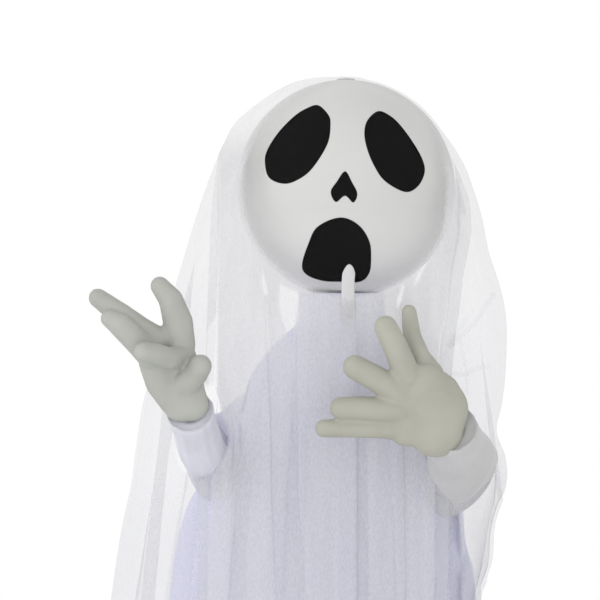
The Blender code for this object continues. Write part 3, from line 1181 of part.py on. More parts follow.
def build_lead():
    """The cable that is clipped along the pole, from the battery box to the chest box."""
    low, high = BOX_TOP + SEAT_GAP, TORSO_BOTTOM - SEAT_GAP
    curve = bpy.data.curves.new("power_lead", "CURVE")
    curve.dimensions = "3D"
    curve.bevel_depth = LEAD_RADIUS
    curve.bevel_resolution = 2
    curve.use_fill_caps = True
    spline = curve.splines.new("POLY")
    spline.points.add(1)
    spline.points[0].co = (0, LEAD_OFFSET, low, 1)
    spline.points[1].co = (0, LEAD_OFFSET, high, 1)
    place(bpy.data.objects.new("power_lead", curve), "plastic")
    pole_hold, lead_hold = POLE_RADIUS + SEAT_GAP, LEAD_RADIUS + SEAT_GAP
    for index in range(CLIP_COUNT):
        z = low + (high - low) * (index + 1) / (CLIP_COUNT + 1)
        bottom, top = z - CLIP_HEIGHT / 2, z + CLIP_HEIGHT / 2
        clip = rod(f"lead_clip_{index + 1}", (0, 0, bottom), (0, 0, top), pole_hold + CLIP_WALL)
        join(clip, rod("clip_ear", (0, LEAD_OFFSET, bottom), (0, LEAD_OFFSET, top),
                       lead_hold + CLIP_WALL, ROUND_STEPS // 2))
        over, under = top + CUT_OVERRUN, bottom - CUT_OVERRUN
        combine(clip, rod("clip_pole_cut", (0, 0, under), (0, 0, over), pole_hold))
        combine(clip, rod("clip_lead_cut", (0, LEAD_OFFSET, under), (0, LEAD_OFFSET, over), lead_hold,
                          ROUND_STEPS // 2))
        place(clip, "plastic")


def build_figure():
    clear_scene()
    head_axis = frame_empty("head_axis", (0, 0, TORSO_TOP))
    arm_axis = frame_empty("arm_axis", (0, 0, SHOULDER_Z))
    build_stand()
    build_torso()
    build_chassis()
    build_drives()
    build_neck(head_axis)
    build_head(head_axis)
    build_shoulders(arm_axis)
    for name, places, fingers, palm in (
        ("right", arm_places(-1, RIGHT_UPPER_ARM_SHARES, RIGHT_FOREARM_SHARES),
         RIGHT_HAND_SHARES, RIGHT_PALM_SHARES),
        ("left", arm_places(1, LEFT_UPPER_ARM_SHARES, LEFT_FOREARM_SHARES),
         LEFT_HAND_SHARES, LEFT_PALM_SHARES),
    ):
        shoulder, elbow, wrist = places
        elbow_axis = build_arm(name, shoulder, elbow, wrist, arm_axis)
        build_hand(name, fingers, palm, elbow, wrist, elbow_axis)
        sleeve(name, shoulder, elbow, wrist, arm_axis)
    build_cloth(head_axis)
    build_battery_box()
    build_lead()


build_figure()
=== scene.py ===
"""The ghost as it looks: ball head, sheer veil, lined robe, sleeves and vinyl hands over the frame."""

import functools
import math
import random
from dataclasses import dataclass

import bmesh
import bpy
from mathutils import Matrix, Vector, noise


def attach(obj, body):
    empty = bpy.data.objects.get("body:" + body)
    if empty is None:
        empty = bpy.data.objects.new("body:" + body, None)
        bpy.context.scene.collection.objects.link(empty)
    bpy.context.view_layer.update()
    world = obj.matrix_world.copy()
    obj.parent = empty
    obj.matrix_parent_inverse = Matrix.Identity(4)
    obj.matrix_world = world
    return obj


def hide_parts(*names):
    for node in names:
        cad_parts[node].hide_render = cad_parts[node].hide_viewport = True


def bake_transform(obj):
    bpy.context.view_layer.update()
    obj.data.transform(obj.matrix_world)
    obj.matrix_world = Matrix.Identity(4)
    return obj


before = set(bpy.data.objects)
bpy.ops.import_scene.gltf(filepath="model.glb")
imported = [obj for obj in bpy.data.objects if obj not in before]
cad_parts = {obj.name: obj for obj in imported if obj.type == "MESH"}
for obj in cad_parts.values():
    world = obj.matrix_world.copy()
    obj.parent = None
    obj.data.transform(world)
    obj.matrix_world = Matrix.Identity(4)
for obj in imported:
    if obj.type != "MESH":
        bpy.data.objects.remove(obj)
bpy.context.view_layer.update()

# View
IMAGE_SIZE = 600
IMAGE_MIDDLE = 300
VIEW_WIDTH = 0.684
VIEW_DISTANCE = 5.0
CAMERA_X = -0.0524
CAMERA_Z = 1.0
VIEW_MIDDLE_Z = 0.9658
SENSOR = 36.0
CLIP_END = 40

# Studio lamps: name, power, size, place and the point that each looks at
LIGHTS = (
    ("key", 0.8, 2.4, (-1.8, -3, 3), (0, 0, 0.95)),
    ("fill", 2, 2.6, (2.4, -2.6, 1.8), (0, 0, 0.9)),
    ("rim", 10, 2.2, (0.4, 2.8, 2.6), (0, 0, 0.9)),
    ("side", 20, 2.2, (-3.2, -0.6, 2.2), (0, 0, 1)),
    ("low", 36, 2.6, (-0.4, -3.2, 0.15), (0, 0, 0.95)),
)
WORLD_LEVEL = 0.85
BACKDROP_LEVEL = 1.0
FLOOR_RADIUS = 1.6
FLOOR_STEPS = 96
FLOOR_DROP = 0.0005
FLOOR_COLOURS = ((0.81, 0.81, 0.81), (0.83, 0.83, 0.83))

# Figure
HEAD_RADIUS = 0.1243
HEAD_WALL = 0.0025
HEAD_Z = 1.0927
HEAD_STEPS = 112
# Heights over which the painted light under the chin fades, full at the lower and none at the upper
PAINTED_CHIN_LIGHT_HEIGHTS = (HEAD_Z - 0.9 * HEAD_RADIUS, HEAD_Z - 0.2 * HEAD_RADIUS)
SHOULDER_Z = 0.8614
FACE_RECESS = 0.0006
FACE_GAP = 0.0002
FACE_STEPS = 7
PRISM_NEAR = 1.1
PRISM_FAR = 0.2
SHARP_ANGLE = math.radians(35)

BUTTON_RADIUS = 0.011
BUTTON_TOP = 1.2192
BUTTON_RISE = 0.0026
BUTTON_ROWS = 10
BUTTON_COLUMNS = 40
BUTTON_PUCKERS = 9
BUTTON_PUCKER_SHARE = 0.02

SHOULDERS = {"right": Vector((-0.084, 0, SHOULDER_Z)), "left": Vector((0.084, 0, SHOULDER_Z))}
ELBOWS = {"right": Vector((-0.13977, -0.01925, 0.76856)), "left": Vector((0.12733, -0.02112, 0.76252))}
WRISTS = {"right": Vector((-0.17642, -0.18531, 0.84635)), "left": Vector((0.10938, -0.19517, 0.82851))}

HAND_LENGTH = 0.178
HAND_VOXEL = 0.0017
HAND_FLAT_SHARE = 0.62
HAND_COLUMNS = 24
HAND_BALL_ROWS = 16
HAND_SMOOTHING = 0.5
HAND_SMOOTHINGS = 14
HAND_COLOURS = {"right": (0.4, 0.407, 0.375), "left": (0.392, 0.389, 0.335)}
RIGHT_HAND_SHARES = {
    "index": ((-0.043, 0.401, 0.011, 0.096), (-0.056, 0.543, 0, 0.093),
              (-0.099, 0.679, -0.011, 0.077), (-0.167, 0.765, -0.022, 0.06)),
    "middle": ((-0.185, 0.426, 0, 0.09), (-0.29, 0.5, 0, 0.078),
               (-0.407, 0.586, 0, 0.074), (-0.549, 0.691, 0, 0.06)),
    "ring": ((-0.222, 0.346, -0.045, 0.093), (-0.315, 0.435, -0.079, 0.081),
             (-0.407, 0.522, -0.09, 0.074), (-0.475, 0.565, -0.09, 0.056)),
    "little": ((-0.006, 0.327, -0.022, 0.068), (-0.105, 0.321, -0.157, 0.07),
               (-0.191, 0.349, -0.247, 0.068), (-0.259, 0.364, -0.292, 0.06)),
    "thumb": ((-0.006, 0.16, -0.034, 0.086), (0.056, 0.228, -0.101, 0.077),
              (0.086, 0.275, -0.157, 0.072)),
}
RIGHT_PALM_SHARES = (
    (-0.006, 0.049, 0, 0.123), (-0.062, 0.086, 0, 0.127),
    (-0.13, 0.185, 0.028, 0.133), (-0.179, 0.29, 0.011, 0.12),
    (0.012, 0.148, 0, 0.096), (-0.068, 0.37, 0.045, 0.108),
    (0.031, 0.031, 0, 0.105), (-0.043, 0.031, 0, 0.108),
)
LEFT_HAND_SHARES = {
    "index": ((-0.253, 0.309, -0.022, 0.09), (-0.278, 0.383, -0.045, 0.083),
             (-0.321, 0.488, -0.067, 0.078), (-0.383, 0.614, -0.079, 0.072)),
    "middle": ((-0.284, 0.198, 0, 0.09), (-0.37, 0.253, -0.034, 0.083),
              (-0.463, 0.309, -0.056, 0.08), (-0.571, 0.367, -0.067, 0.077)),
    "ring": ((-0.284, 0.093, 0, 0.083), (-0.42, 0.105, -0.022, 0.078),
            (-0.543, 0.116, -0.034, 0.074), (-0.657, 0.114, -0.034, 0.07)),
    "little": ((-0.284, -0.012, 0.022, 0.077), (-0.389, -0.015, 0.011, 0.062),
              (-0.574, -0.012, 0, 0.057), (-0.762, -0.011, 0, 0.057)),
    "thumb": ((-0.099, 0.321, 0.067, 0.08), (-0.167, 0.42, 0.09, 0.067),
             (-0.216, 0.549, 0.112, 0.059), (-0.235, 0.704, 0.124, 0.048)),
}
LEFT_PALM_SHARES = (
    (-0.074, -0.019, 0, 0.173), (-0.068, 0.105, 0, 0.198),
    (-0.049, 0.198, 0, 0.133), (-0.136, 0.247, 0, 0.142),
    (-0.228, 0.185, 0, 0.127), (-0.253, -0.019, 0.011, 0.108),
)

RIGHT_EYE_SHARES = (
    (-0.257, 0.743), (-0.165, 0.651), (-0.147, 0.56), (-0.174, 0.385), (-0.303, 0.174),
    (-0.422, 0.073), (-0.56, 0.028), (-0.7, 0.085), (-0.739, 0.23), (-0.715, 0.345),
    (-0.615, 0.5), (-0.477, 0.642), (-0.362, 0.716),
)
LEFT_EYE_SHARES = (
    (0.284, 0.688), (0.19, 0.61), (0.156, 0.5), (0.174, 0.358), (0.239, 0.193),
    (0.339, 0.05), (0.523, -0.046), (0.642, 0.009), (0.703, 0.138), (0.679, 0.261),
    (0.593, 0.413), (0.477, 0.569), (0.385, 0.651),
)
NOSE_SHARES = (
    (-0.018, 0.138), (-0.092, 0.046), (-0.147, -0.046), (-0.101, -0.138), (-0.018, -0.083),
    (0.055, -0.143), (0.092, -0.064), (0.046, 0.037),
)
MOUTH_SHARES = (
    (-0.064, -0.275), (-0.266, -0.358), (-0.349, -0.514), (-0.404, -0.697), (-0.362, -0.789),
    (-0.22, -0.844), (-0.055, -0.853), (0.119, -0.853), (0.202, -0.78), (0.22, -0.651),
    (0.202, -0.486), (0.101, -0.339),
)

# Veil rows: height, then reach right (-X), left (+X), front (-Y) and back, in metres.
VEIL_ROWS = (
    (1.2198, 0.012, 0.012, 0.012, 0.012), (1.219, 0.035, 0.018, 0.018, 0.02),
    (1.2165, 0.05, 0.026, 0.026, 0.032), (1.2126, 0.063, 0.04, 0.0395, 0.043),
    (1.2019, 0.083, 0.063, 0.0633, 0.068), (1.1864, 0.105, 0.085, 0.0845, 0.089),
    (1.1668, 0.127, 0.102, 0.1022, 0.107), (1.144, 0.139, 0.12, 0.1155, 0.121),
    (1.1189, 0.15, 0.135, 0.1236, 0.13), (1.0927, 0.16, 0.145, 0.127, 0.136),
    (1.06, 0.171, 0.155, 0.1275, 0.14), (1.02, 0.183, 0.163, 0.128, 0.145),
    (0.98, 0.195, 0.176, 0.129, 0.149), (0.94, 0.206, 0.183, 0.1305, 0.152),
    (0.886, 0.221, 0.182, 0.133, 0.157), (0.8495, 0.231, 0.178, 0.135, 0.161),
    (0.8164, 0.236, 0.172, 0.137, 0.165), (0.7868, 0.24, 0.182, 0.139, 0.168),
    (0.756, 0.244, 0.183, 0.141, 0.171), (0.7116, 0.254, 0.169, 0.144, 0.175),
    (0.6671, 0.262, 0.165, 0.148, 0.18), (0.6238, 0.268, 0.154, 0.152, 0.185),
    (0.56, 0.277, 0.172, 0.159, 0.192), (0.46, 0.288, 0.195, 0.17, 0.203),
    (0.34, 0.297, 0.212, 0.182, 0.213), (0.2, 0.304, 0.224, 0.194, 0.22),
    (0.048, 0.309, 0.233, 0.204, 0.226),
)
VEIL_TOP = (-0.006, 0, 1.2206)
VEIL_COLUMNS = 560
VEIL_ROW_STEP = 0.009
VEIL_FINE_ABOVE = 0.7
VEIL_FINE_STEP = 0.003
VEIL_SQUARENESS = 2.25
VEIL_COLOUR = (0.735, 0.735, 0.75)
# The netting's darker colour below the neck: painted shade
VEIL_PAINTED_SHADE_COLOUR = (0.71, 0.71, 0.73)
VEIL_THROUGH = 0.35
BACK_SHARE = 0.3
CLOTH_WANDER = 0.006
WANDER_ACROSS = 22
WANDER_DOWN = 5
FOLD_REACH = 4
TURN_STEP = 0.01
VEIL_HEAD_GAP = 0.0012
HEAD_SLACK = 0.002
VEIL_HEM_Z = 0.05
# Front pleats: middle by pixels of the view, then x at the hem, width, side on top, depth, the heights
# where it starts and is full, and strength
FRONT_FOLDS = (
    # The front panel's two sides
    (((219, 150), (218, 330), (217, 385), (213, 430), (213, 600)),
     -0.165, 0.0062, 1, 0.0035, 1.165, 1.06, 2.6),
    (((443, 144), (454, 175), (459, 200), (459, 232), (451, 270), (447, 309), (440, 345), (436, 400),
      (434, 600)), 0.115, 0.008, -1, 0.0045, 1.16, 1.06, 3.2),
    (((441, 230), (435, 309), (430, 360), (424, 430), (420, 600)),
     0.095, 0.006, -1, 0.003, 1.05, 0.96, 1),
    # Under the ball
    (((274, 270), (273, 293), (275, 330), (278, 399), (282, 600)),
     -0.08, 0.005, -1, 0.0025, 1.03, 0.96, 0.85),
    (((308, 270), (306, 310), (303, 340), (302, 400), (304, 600)), -0.05, 0.007, 1, 0.003, 1, 0.92, 0.9),
    (((349, 250), (350, 282), (351, 330), (350, 400), (349, 525), (348, 600)),
     0, 0.006, -1, 0.003, 0.96, 0.9, 0.95),
    (((391, 260), (390, 300), (392, 400), (396, 600)), 0.06, 0.006, -1, 0.003, 1, 0.93, 0.9),
    (((245, 380), (243, 430), (240, 600)), -0.14, 0.007, 1, 0.003, 0.88, 0.78, 0.9),
    # The side panels
    (((203, 230), (194, 283), (176, 388), (166, 480), (155, 600)), -0.255, 0.007, 1, 0.004, 1.05, 0.93, 3.2),
    (((160, 440), (150, 520), (140, 600)), -0.285, 0.006, -1, 0.003, 0.84, 0.76, 3.2),
    (((492, 430), (490, 500), (470, 600)), 0.2, 0.005, 1, 0.003, 0.83, 0.77, 3.2),
)

# How much the netting hides. Places are pixels of the view, and left and right as it shows them.
VEIL_COVER = 0.245
LEAST_COVER = 0.02
BACK_THINNER = 0.8
PANEL_EDGE = 1.5
PANEL_DENSER = 1.9
PANEL_TOP_DENSER = 0.6
PANEL_TOP_ENDS = (280, 340)
PANEL_STARTS = (115, 170)
CORNER_STARTS = (430, 560)
LEFT_CORNER_DENSER = 0.5
LEFT_CORNER = (180, 210)
RIGHT_CORNER_DENSER = 1.2
RIGHT_CORNER = (440, 470)
PANEL_LEFT = ((100, 232), (150, 219), (330, 218), (385, 217), (430, 213), (900, 196))
PANEL_RIGHT = ((100, 430), (144, 443), (175, 454), (200, 459), (232, 459), (270, 451), (309, 447),
               (345, 440), (400, 436), (600, 434), (900, 440))
FACE_COVER = 0.03
FACE_REACH = (0.12, 0.123)
FACE_ENDS = (0.94, 1.02)
FACE_LEFT_FADE = 5
FACE_RIGHT_FADE = 4
FACE_LEFT = ((60, 300), (112, 266), (129, 254), (152, 246), (167, 240), (184, 236), (250, 240), (300, 255))
FACE_RIGHT = ((60, 400), (142, 442), (182, 448), (240, 443), (270, 437), (300, 425))
# Gaps between the pleats: outline, and how dense the netting is there
GAP_EDGE = 1.3
GAP_WINDOW = (60, 70)
GAPS = (
    ([(262, 271), (264, 276), (268, 293), (265, 297), (262, 285)], 1.2),
    ([(280, 284), (299, 293), (298.5, 305), (293, 335), (289, 339), (281, 316), (279, 302)], 1.4),
    ([(428, 257), (427, 263), (419, 279), (414, 287), (416, 276)], 1.2),
    ([(397, 309), (397, 300), (402, 284), (404.5, 286), (401, 302)], 1.2),
    ([(208, 329), (217, 312), (217, 388), (209, 388), (206, 350)], 0.4),
)
# Creases: line, how much denser, and width
CREASE_WINDOW = (60, 10, 115)
CREASE_REACH = 3
CREASES = (
    (((269, 112), (257, 129), (249, 152), (241, 167), (236, 184), (232, 215)), 0.8, 2),
    (((443, 142), (454, 173), (461, 202), (464, 213)), 0.9, 1.6),
    (((266, 302), (268, 340), (271, 385)), -0.9, 1),
    (((494, 294), (485, 307), (475, 324), (460, 336), (450, 346)), 0.8, 2),
    (((467, 317), (452, 339)), 0.6, 1.9),
    (((452, 374), (466, 374), (477, 368), (488, 366)), 0.7, 2),
    (((460, 339), (466, 369), (467, 394)), 0.5, 1.8),
)
# The openings that the forearms pass through
HOLE_RADIUS = 0.026
HOLE_EDGE = (0.001, 0.008)
HOLE_LIFTS = (0, -8, 8, 16)
HOLE_INNER_SIDES = {"right": 213, "left": 455}
HOLE_INNER_REACH = 25
HOLE_TAPER = 0.0015
HOLE_START = 0.15
HOLE_END = 1.1

# The pinched tuck over the mouth's lower edge
TUCK_TOP = 1.0066
TUCK_LENGTH = 0.078
TUCK_ACROSS = 349.3
TUCK_DRIFT = 1.3
TUCK_NEARNESS = 0.974
TUCK_HALF = 0.0071
TUCK_ROUNDED = 0.13
TUCK_WIDENING = 0.25
TUCK_OFF_VEIL = 0.0022
TUCK_BULGE = 0.0014
TUCK_FLAT_BELOW = 0.004
TUCK_ROWS = 48
TUCK_COLUMNS = 16
TUCK_COLOUR = (0.66, 0.66, 0.67)
TUCK_THROUGH = 0.1

# Robe rows: height, then reach right (-X), left (+X), front (-Y) and back, in metres.
ROBE_ROWS = (
    (0.9738, 0.052, 0.043, 0.045, 0.045), (0.968, 0.053, 0.0435, 0.046, 0.046),
    (0.954, 0.053, 0.044, 0.046, 0.046), (0.94, 0.054, 0.048, 0.048, 0.048),
    (0.912, 0.084, 0.08, 0.066, 0.066), (0.88, 0.106, 0.103, 0.079, 0.079),
    (0.84, 0.118, 0.112, 0.085, 0.085), (0.79, 0.14, 0.118, 0.088, 0.086),
    (0.74, 0.176, 0.124, 0.089, 0.087), (0.69, 0.192, 0.128, 0.092, 0.09),
    (0.64, 0.199, 0.138, 0.099, 0.1), (0.52, 0.213, 0.158, 0.119, 0.132),
    (0.34, 0.233, 0.185, 0.141, 0.166), (0.18, 0.245, 0.206, 0.155, 0.189),
    (0.031, 0.252, 0.22, 0.166, 0.198),
)
ROBE_FOLDS = ((349, -1), (396, 1), (438, -1), (312, 1), (285, -1), (258, 1), (232, -1), (205, 1),
              (372, 1), (455, 1))
ROBE_COLUMNS = 340
ROBE_ROW_STEP = 0.009
ROBE_SQUARENESS = 2.0
ROBE_COLOUR = (0.68, 0.68, 0.855)
CLOTH_THICKNESS = 0.0008
ARMHOLE_RADIUS = 0.021
ARMHOLE_REACH = 0.16
ARMHOLE_COVER = 0.003
ARMHOLE_UPPER_ARM = (0.1, 1)
ARMHOLE_FOREARM = (0, 0.4)
ARMHOLE_LIFTS = (-10, 0, 10, 20)
ARMHOLE_COVER_LIFTS = (0, 20, -10)

# Sleeves: share of the length, and radius
SLEEVE_WIDTHS = {
    "right": ((0, 0.018), (0.1, 0.031), (0.3, 0.037), (0.6, 0.034), (0.8, 0.029), (0.93, 0.0255),
              (1, 0.0262)),
    "left": ((0, 0.018), (0.1, 0.031), (0.3, 0.037), (0.6, 0.04), (0.8, 0.038), (0.93, 0.031), (1, 0.0285)),
}
SLEEVE_SAG = {"right": 0.004, "left": 0.012}
SLEEVE_BRIDGE = {"right": 0.044, "left": 0.026}
CUFF_SHIFTS = {"right": Vector((0.003, 0.002, -0.001)), "left": Vector((0.004, 0.006, -0.002))}
# The left sleeve's colour is grey and darker: partly the netting that lies on it, partly painted shade
SLEEVE_COLOURS = {"right": (0.62, 0.62, 0.69), "left": (0.52, 0.52, 0.525)}
SHOULDER_COLOUR = (0.66, 0.66, 0.775)
SHOULDER_COLOUR_STARTS = (0.775, 0.845)
SHOULDER_COLOUR_SLANT = 0.8
SLEEVE_START = 0.02
SLEEVE_STEPS = 64
SLEEVE_COLUMNS = 96
SLEEVE_FOLD = 0.0035
SLEEVE_LEAST_FOLD = 0.0012
SLEEVE_BALL_COUNT = 48
SLEEVE_BALL_STEPS = range(3, 33)
SLEEVE_RINGS = 42
SLEEVE_RING_DEPTH = 0.0012
# The cuff's lining: share of the rim's reach, and how far inside the sleeve
CUFF_LINING = ((0.95, 0.001), (0.9, 0.003), (0.6, 0.005), (0.33, 0.006))


def metres(across, down):
    """Where a point of the view lies, on the plane through the figure's axis."""
    pixel = VIEW_WIDTH / IMAGE_SIZE
    return CAMERA_X + (across - IMAGE_MIDDLE) * pixel, VIEW_MIDDLE_Z + (IMAGE_MIDDLE - down) * pixel


def table(points, value):
    """The result at a value, on straight lines between (key, result) points."""
    keys = sorted(points)
    for (low, a), (high, b) in zip(keys, keys[1:]):
        if value < high:
            return a + (b - a) * max(0, (value - low) / (high - low))
    return keys[-1][1]


def ramp(low, high, value):
    """A smooth rise from 0 at the low value to 1 at the high one."""
    t = min(1, max(0, (value - low) / (high - low)))
    return t * t * (3 - 2 * t)


def between(a, b, c, d, t):
    """A place from b to c on a smooth curve through four points."""
    return b + ((c - a) * t + (2 * a - 5 * b + 4 * c - d) * t**2 + (3 * b - a - 3 * c + d) * t**3) / 2


def smooth_rows(rows, row_step, fine_above=2.0, fine_step=0.003):
    """Rows between the table's rows, on a smooth curve through them, closer above a height."""
    made = []
    for i in range(len(rows) - 1):
        a, b, c, d = (rows[min(max(i + k, 0), len(rows) - 1)] for k in (-1, 0, 1, 2))
        span = abs(c[0] - b[0]) + 0.6 * abs(c[1] - b[1])
        steps = max(2, round(span / (fine_step if c[0] >= fine_above else row_step)))
        for step in range(steps):
            made.append(tuple(between(*values, step / steps) for values in zip(a, b, c, d)))
    made.append(rows[-1])
    return made


def new_object(name, data):
    obj = bpy.data.objects.new(name, data)
    bpy.context.scene.collection.objects.link(obj)
    return obj


def new_mesh(name, points, faces):
    mesh = bpy.data.meshes.new(name)
    mesh.from_pydata(points, [], faces)
    mesh.update()
    mesh.shade_smooth()
    return new_object(name, mesh)


def from_bmesh(name, solid):
    mesh = bpy.data.meshes.new(name)
    solid.to_mesh(mesh)
    solid.free()
    return new_object(name, mesh)


def tube_faces(rings, columns):
    """Quads that join each ring of points to the next."""
    faces = []
    for i in range(rings - 1):
        for c in range(columns):
            beside = (c + 1) % columns
            faces.append((i * columns + c, i * columns + beside,
                          (i + 1) * columns + beside, (i + 1) * columns + c))
    return faces


def applied(obj):
    """The object with its modifiers applied, as a plain mesh under the same name."""
    bpy.context.view_layer.update()
    graph = bpy.context.evaluated_depsgraph_get()
    mesh = bpy.data.meshes.new_from_object(obj.evaluated_get(graph))
    obj.modifiers.clear()
    obj.data = mesh
    return obj


# Materials
class Finish:
    """A Principled material with its nodes at hand."""

    def __init__(self, name, colour, roughness, metallic=0.0):
        self.material = bpy.data.materials.new(name)
        self.material.use_nodes = True
        self.nodes = self.material.node_tree.nodes
        self.shader = self.nodes["Principled BSDF"]
        self.set(Base_Color=(*colour, 1), Roughness=roughness, Metallic=metallic)
        self.place = self.node("TexCoord").outputs["Object"]

    def put(self, value, socket):
        """Gives a socket its number or colour, or links a node's output to it."""
        if isinstance(value, (int, float, tuple)):
            socket.default_value = value
        else:
            self.material.node_tree.links.new(value, socket)

    def fill(self, node, inputs):
        for name, value in inputs.items():
            self.put(value, node.inputs[name.replace("_", " ")])
        return node

    def set(self, **inputs):
        """Gives inputs of the main shader what goes into them."""
        self.fill(self.shader, inputs)

    def node(self, kind, **inputs):
        """A new node with what goes into its inputs."""
        return self.fill(self.nodes.new("ShaderNode" + kind), inputs)

    def scaled(self, scale):
        return self.node("Mapping", Vector=self.place, Scale=scale).outputs["Vector"]

    def noise(self, scale, detail=3.0, stretch=(1, 1, 1), roughness=0.5):
        texture = self.node("TexNoise", Vector=self.scaled(stretch), Scale=scale, Detail=detail,
                            Roughness=roughness)
        return texture.outputs["Fac"]

    def wave(self, scale, direction, distortion):
        texture = self.node("TexWave", Vector=self.place, Scale=scale, Distortion=distortion)
        texture.bands_direction = direction
        return texture.outputs["Fac"]

    def cells(self, scale):
        return self.node("TexVoronoi", Vector=self.scaled((1, 1, 1)), Scale=scale).outputs["Distance"]

    def fit(self, value, low, high, into_low, into_high):
        ends = {"From_Min": low, "From_Max": high, "To_Min": into_low, "To_Max": into_high}
        return self.node("MapRange", Value=value, **ends).outputs["Result"]

    def math(self, kind, a, b):
        node = self.node("Math")
        node.operation = kind
        self.put(a, node.inputs[0])
        self.put(b, node.inputs[1])
        return node.outputs[0]

    def mixed(self, share, first, second):
        node = self.node("Mix")
        node.data_type = "RGBA"
        self.put(share, node.inputs[0])
        for value, socket in ((first, node.inputs[6]), (second, node.inputs[7])):
            self.put((*value, 1) if isinstance(value, tuple) else value, socket)
        return node.outputs[2]

    def bump(self, height, strength, distance):
        skin = self.node("Bump", Height=height, Strength=strength, Distance=distance)
        self.set(Normal=skin.outputs["Normal"])

    def mottled(self, pattern, colour, dark, bright, low=0.3, high=0.7):
        """A colour that goes from darker to brighter with a pattern."""
        return self.mixed(self.fit(pattern, low, high, 0, 1), shade(colour, dark), shade(colour, bright))

    def axes(self):
        """The object's own X, Y and Z."""
        return self.node("SeparateXYZ", Vector=self.place).outputs


def shade(colour, factor):
    return tuple(min(1, c * factor) for c in colour)


def moulded(name, colour, roughness, grain=900, strength=0.12, coat=0.0):
    """Moulded plastic: a fine spark-eroded grain, faint flow marks and rubbed patches."""
    finish = Finish(name, colour, roughness)
    flow = finish.noise(14, 4, (1, 1, 0.35))
    finish.set(Base_Color=finish.mottled(flow, colour, 0.88, 1.1), Coat_Weight=coat,
               Roughness=finish.fit(finish.noise(60), 0.3, 0.7, roughness - 0.06, roughness + 0.08))
    finish.bump(finish.noise(grain, 2), strength, 0.0003)
    return finish.material


def metal(name, colour, roughness, stretch=(1, 1, 12)):
    """Plated metal: fine drawn lines, and cloudy plating."""
    finish = Finish(name, colour, roughness, 1.0)
    lines = finish.noise(260, 3, stretch)
    finish.set(Base_Color=finish.mottled(finish.noise(35, 4), colour, 0.8, 1.12),
               Roughness=finish.fit(lines, 0.3, 0.7, roughness - 0.08, roughness + 0.12))
    finish.bump(lines, 0.06, 0.0002)
    return finish.material


def painted(name, colour, roughness, metallic=0.0, texture=420, strength=0.2):
    """Powder coat: an even orange-peel skin."""
    finish = Finish(name, colour, roughness, metallic)
    peel = finish.noise(texture, 2)
    finish.set(Base_Color=finish.mottled(finish.noise(22, 4), colour, 0.9, 1.1, 0.35, 0.65),
               Roughness=finish.fit(peel, 0.3, 0.7, roughness - 0.05, roughness + 0.08))
    finish.bump(peel, strength, 0.0004)
    return finish.material


def matt_head():
    """The head's skin: matt flocked white with a faint fibre, with painted light that makes it paler towards
    the chin.
    """
    colour = (0.6, 0.6, 0.588)
    finish = Finish("matt_head", colour, 0.9)
    skin = finish.mottled(finish.noise(9, 4), colour, 0.965, 1.02)
    # Painted light: the skin is made 1.2 times brighter towards the chin, in place of light from below
    above_painted_chin_light = finish.fit(finish.axes()["Z"], *PAINTED_CHIN_LIGHT_HEIGHTS, 0, 1)
    finish.set(Base_Color=finish.mixed(above_painted_chin_light, shade(colour, 1.2), skin))
    finish.bump(finish.noise(520, 3, (1, 1, 0.4)), 0.18, 0.0003)
    finish.set(Sheen_Weight=0.5, Sheen_Roughness=0.5, Specular_IOR_Level=0.25)
    return finish.material


def black_felt():
    colour = (0.0045, 0.004, 0.0043)
    finish = Finish("black_felt", colour, 0.92)
    fibres = finish.noise(700, 4)
    finish.set(Base_Color=finish.mottled(fibres, colour, 0.75, 1.25, 0.35, 0.65), Specular_IOR_Level=0.06)
    finish.bump(fibres, 0.3, 0.0004)
    return finish.material


def hand_vinyl(name, colour):
    """Soft grey-green vinyl: cloudy pigment, fine skin grain."""
    finish = Finish(name, colour, 0.62)
    grain = finish.math("ADD", finish.math("MULTIPLY", finish.noise(480), 0.5), finish.cells(340))
    finish.bump(grain, 0.1, 0.0004)
    finish.set(Base_Color=finish.mottled(finish.noise(26, 5), colour, 0.93, 1.06),
               Roughness=finish.fit(finish.noise(90), 0.3, 0.7, 0.55, 0.7), Specular_IOR_Level=0.35,
               Subsurface_Weight=0.12, Subsurface_Radius=(0.006, 0.006, 0.004), Subsurface_Scale=1)
    return finish.material


def weave(finish, scale):
    """Crossed threads as a height."""
    threads = finish.math("MAXIMUM", finish.wave(scale, "X", 0.4), finish.wave(scale, "Z", 0.4))
    return finish.math("ADD", finish.math("MULTIPLY", threads, 0.6), finish.noise(scale * 1.4, 2))


def robe_cloth(name, colour, at_shoulder=None):
    """Satin-white lining cloth with a lavender cast in its depths."""
    finish = Finish(name, colour, 0.85)
    made = finish.mottled(finish.noise(30, 4, (1, 1, 0.12)), colour, 0.94, 1.07)
    if at_shoulder:
        axes = finish.axes()
        along = finish.math("ADD", axes["Z"], finish.math("MULTIPLY", axes["Y"], SHOULDER_COLOUR_SLANT))
        made = finish.mixed(finish.fit(along, *SHOULDER_COLOUR_STARTS, 0, 1), made, at_shoulder)
    finish.bump(weave(finish, 420), 0.12, 0.0004)
    finish.set(Base_Color=made, Sheen_Weight=0.25, Sheen_Roughness=0.4)
    return finish.material


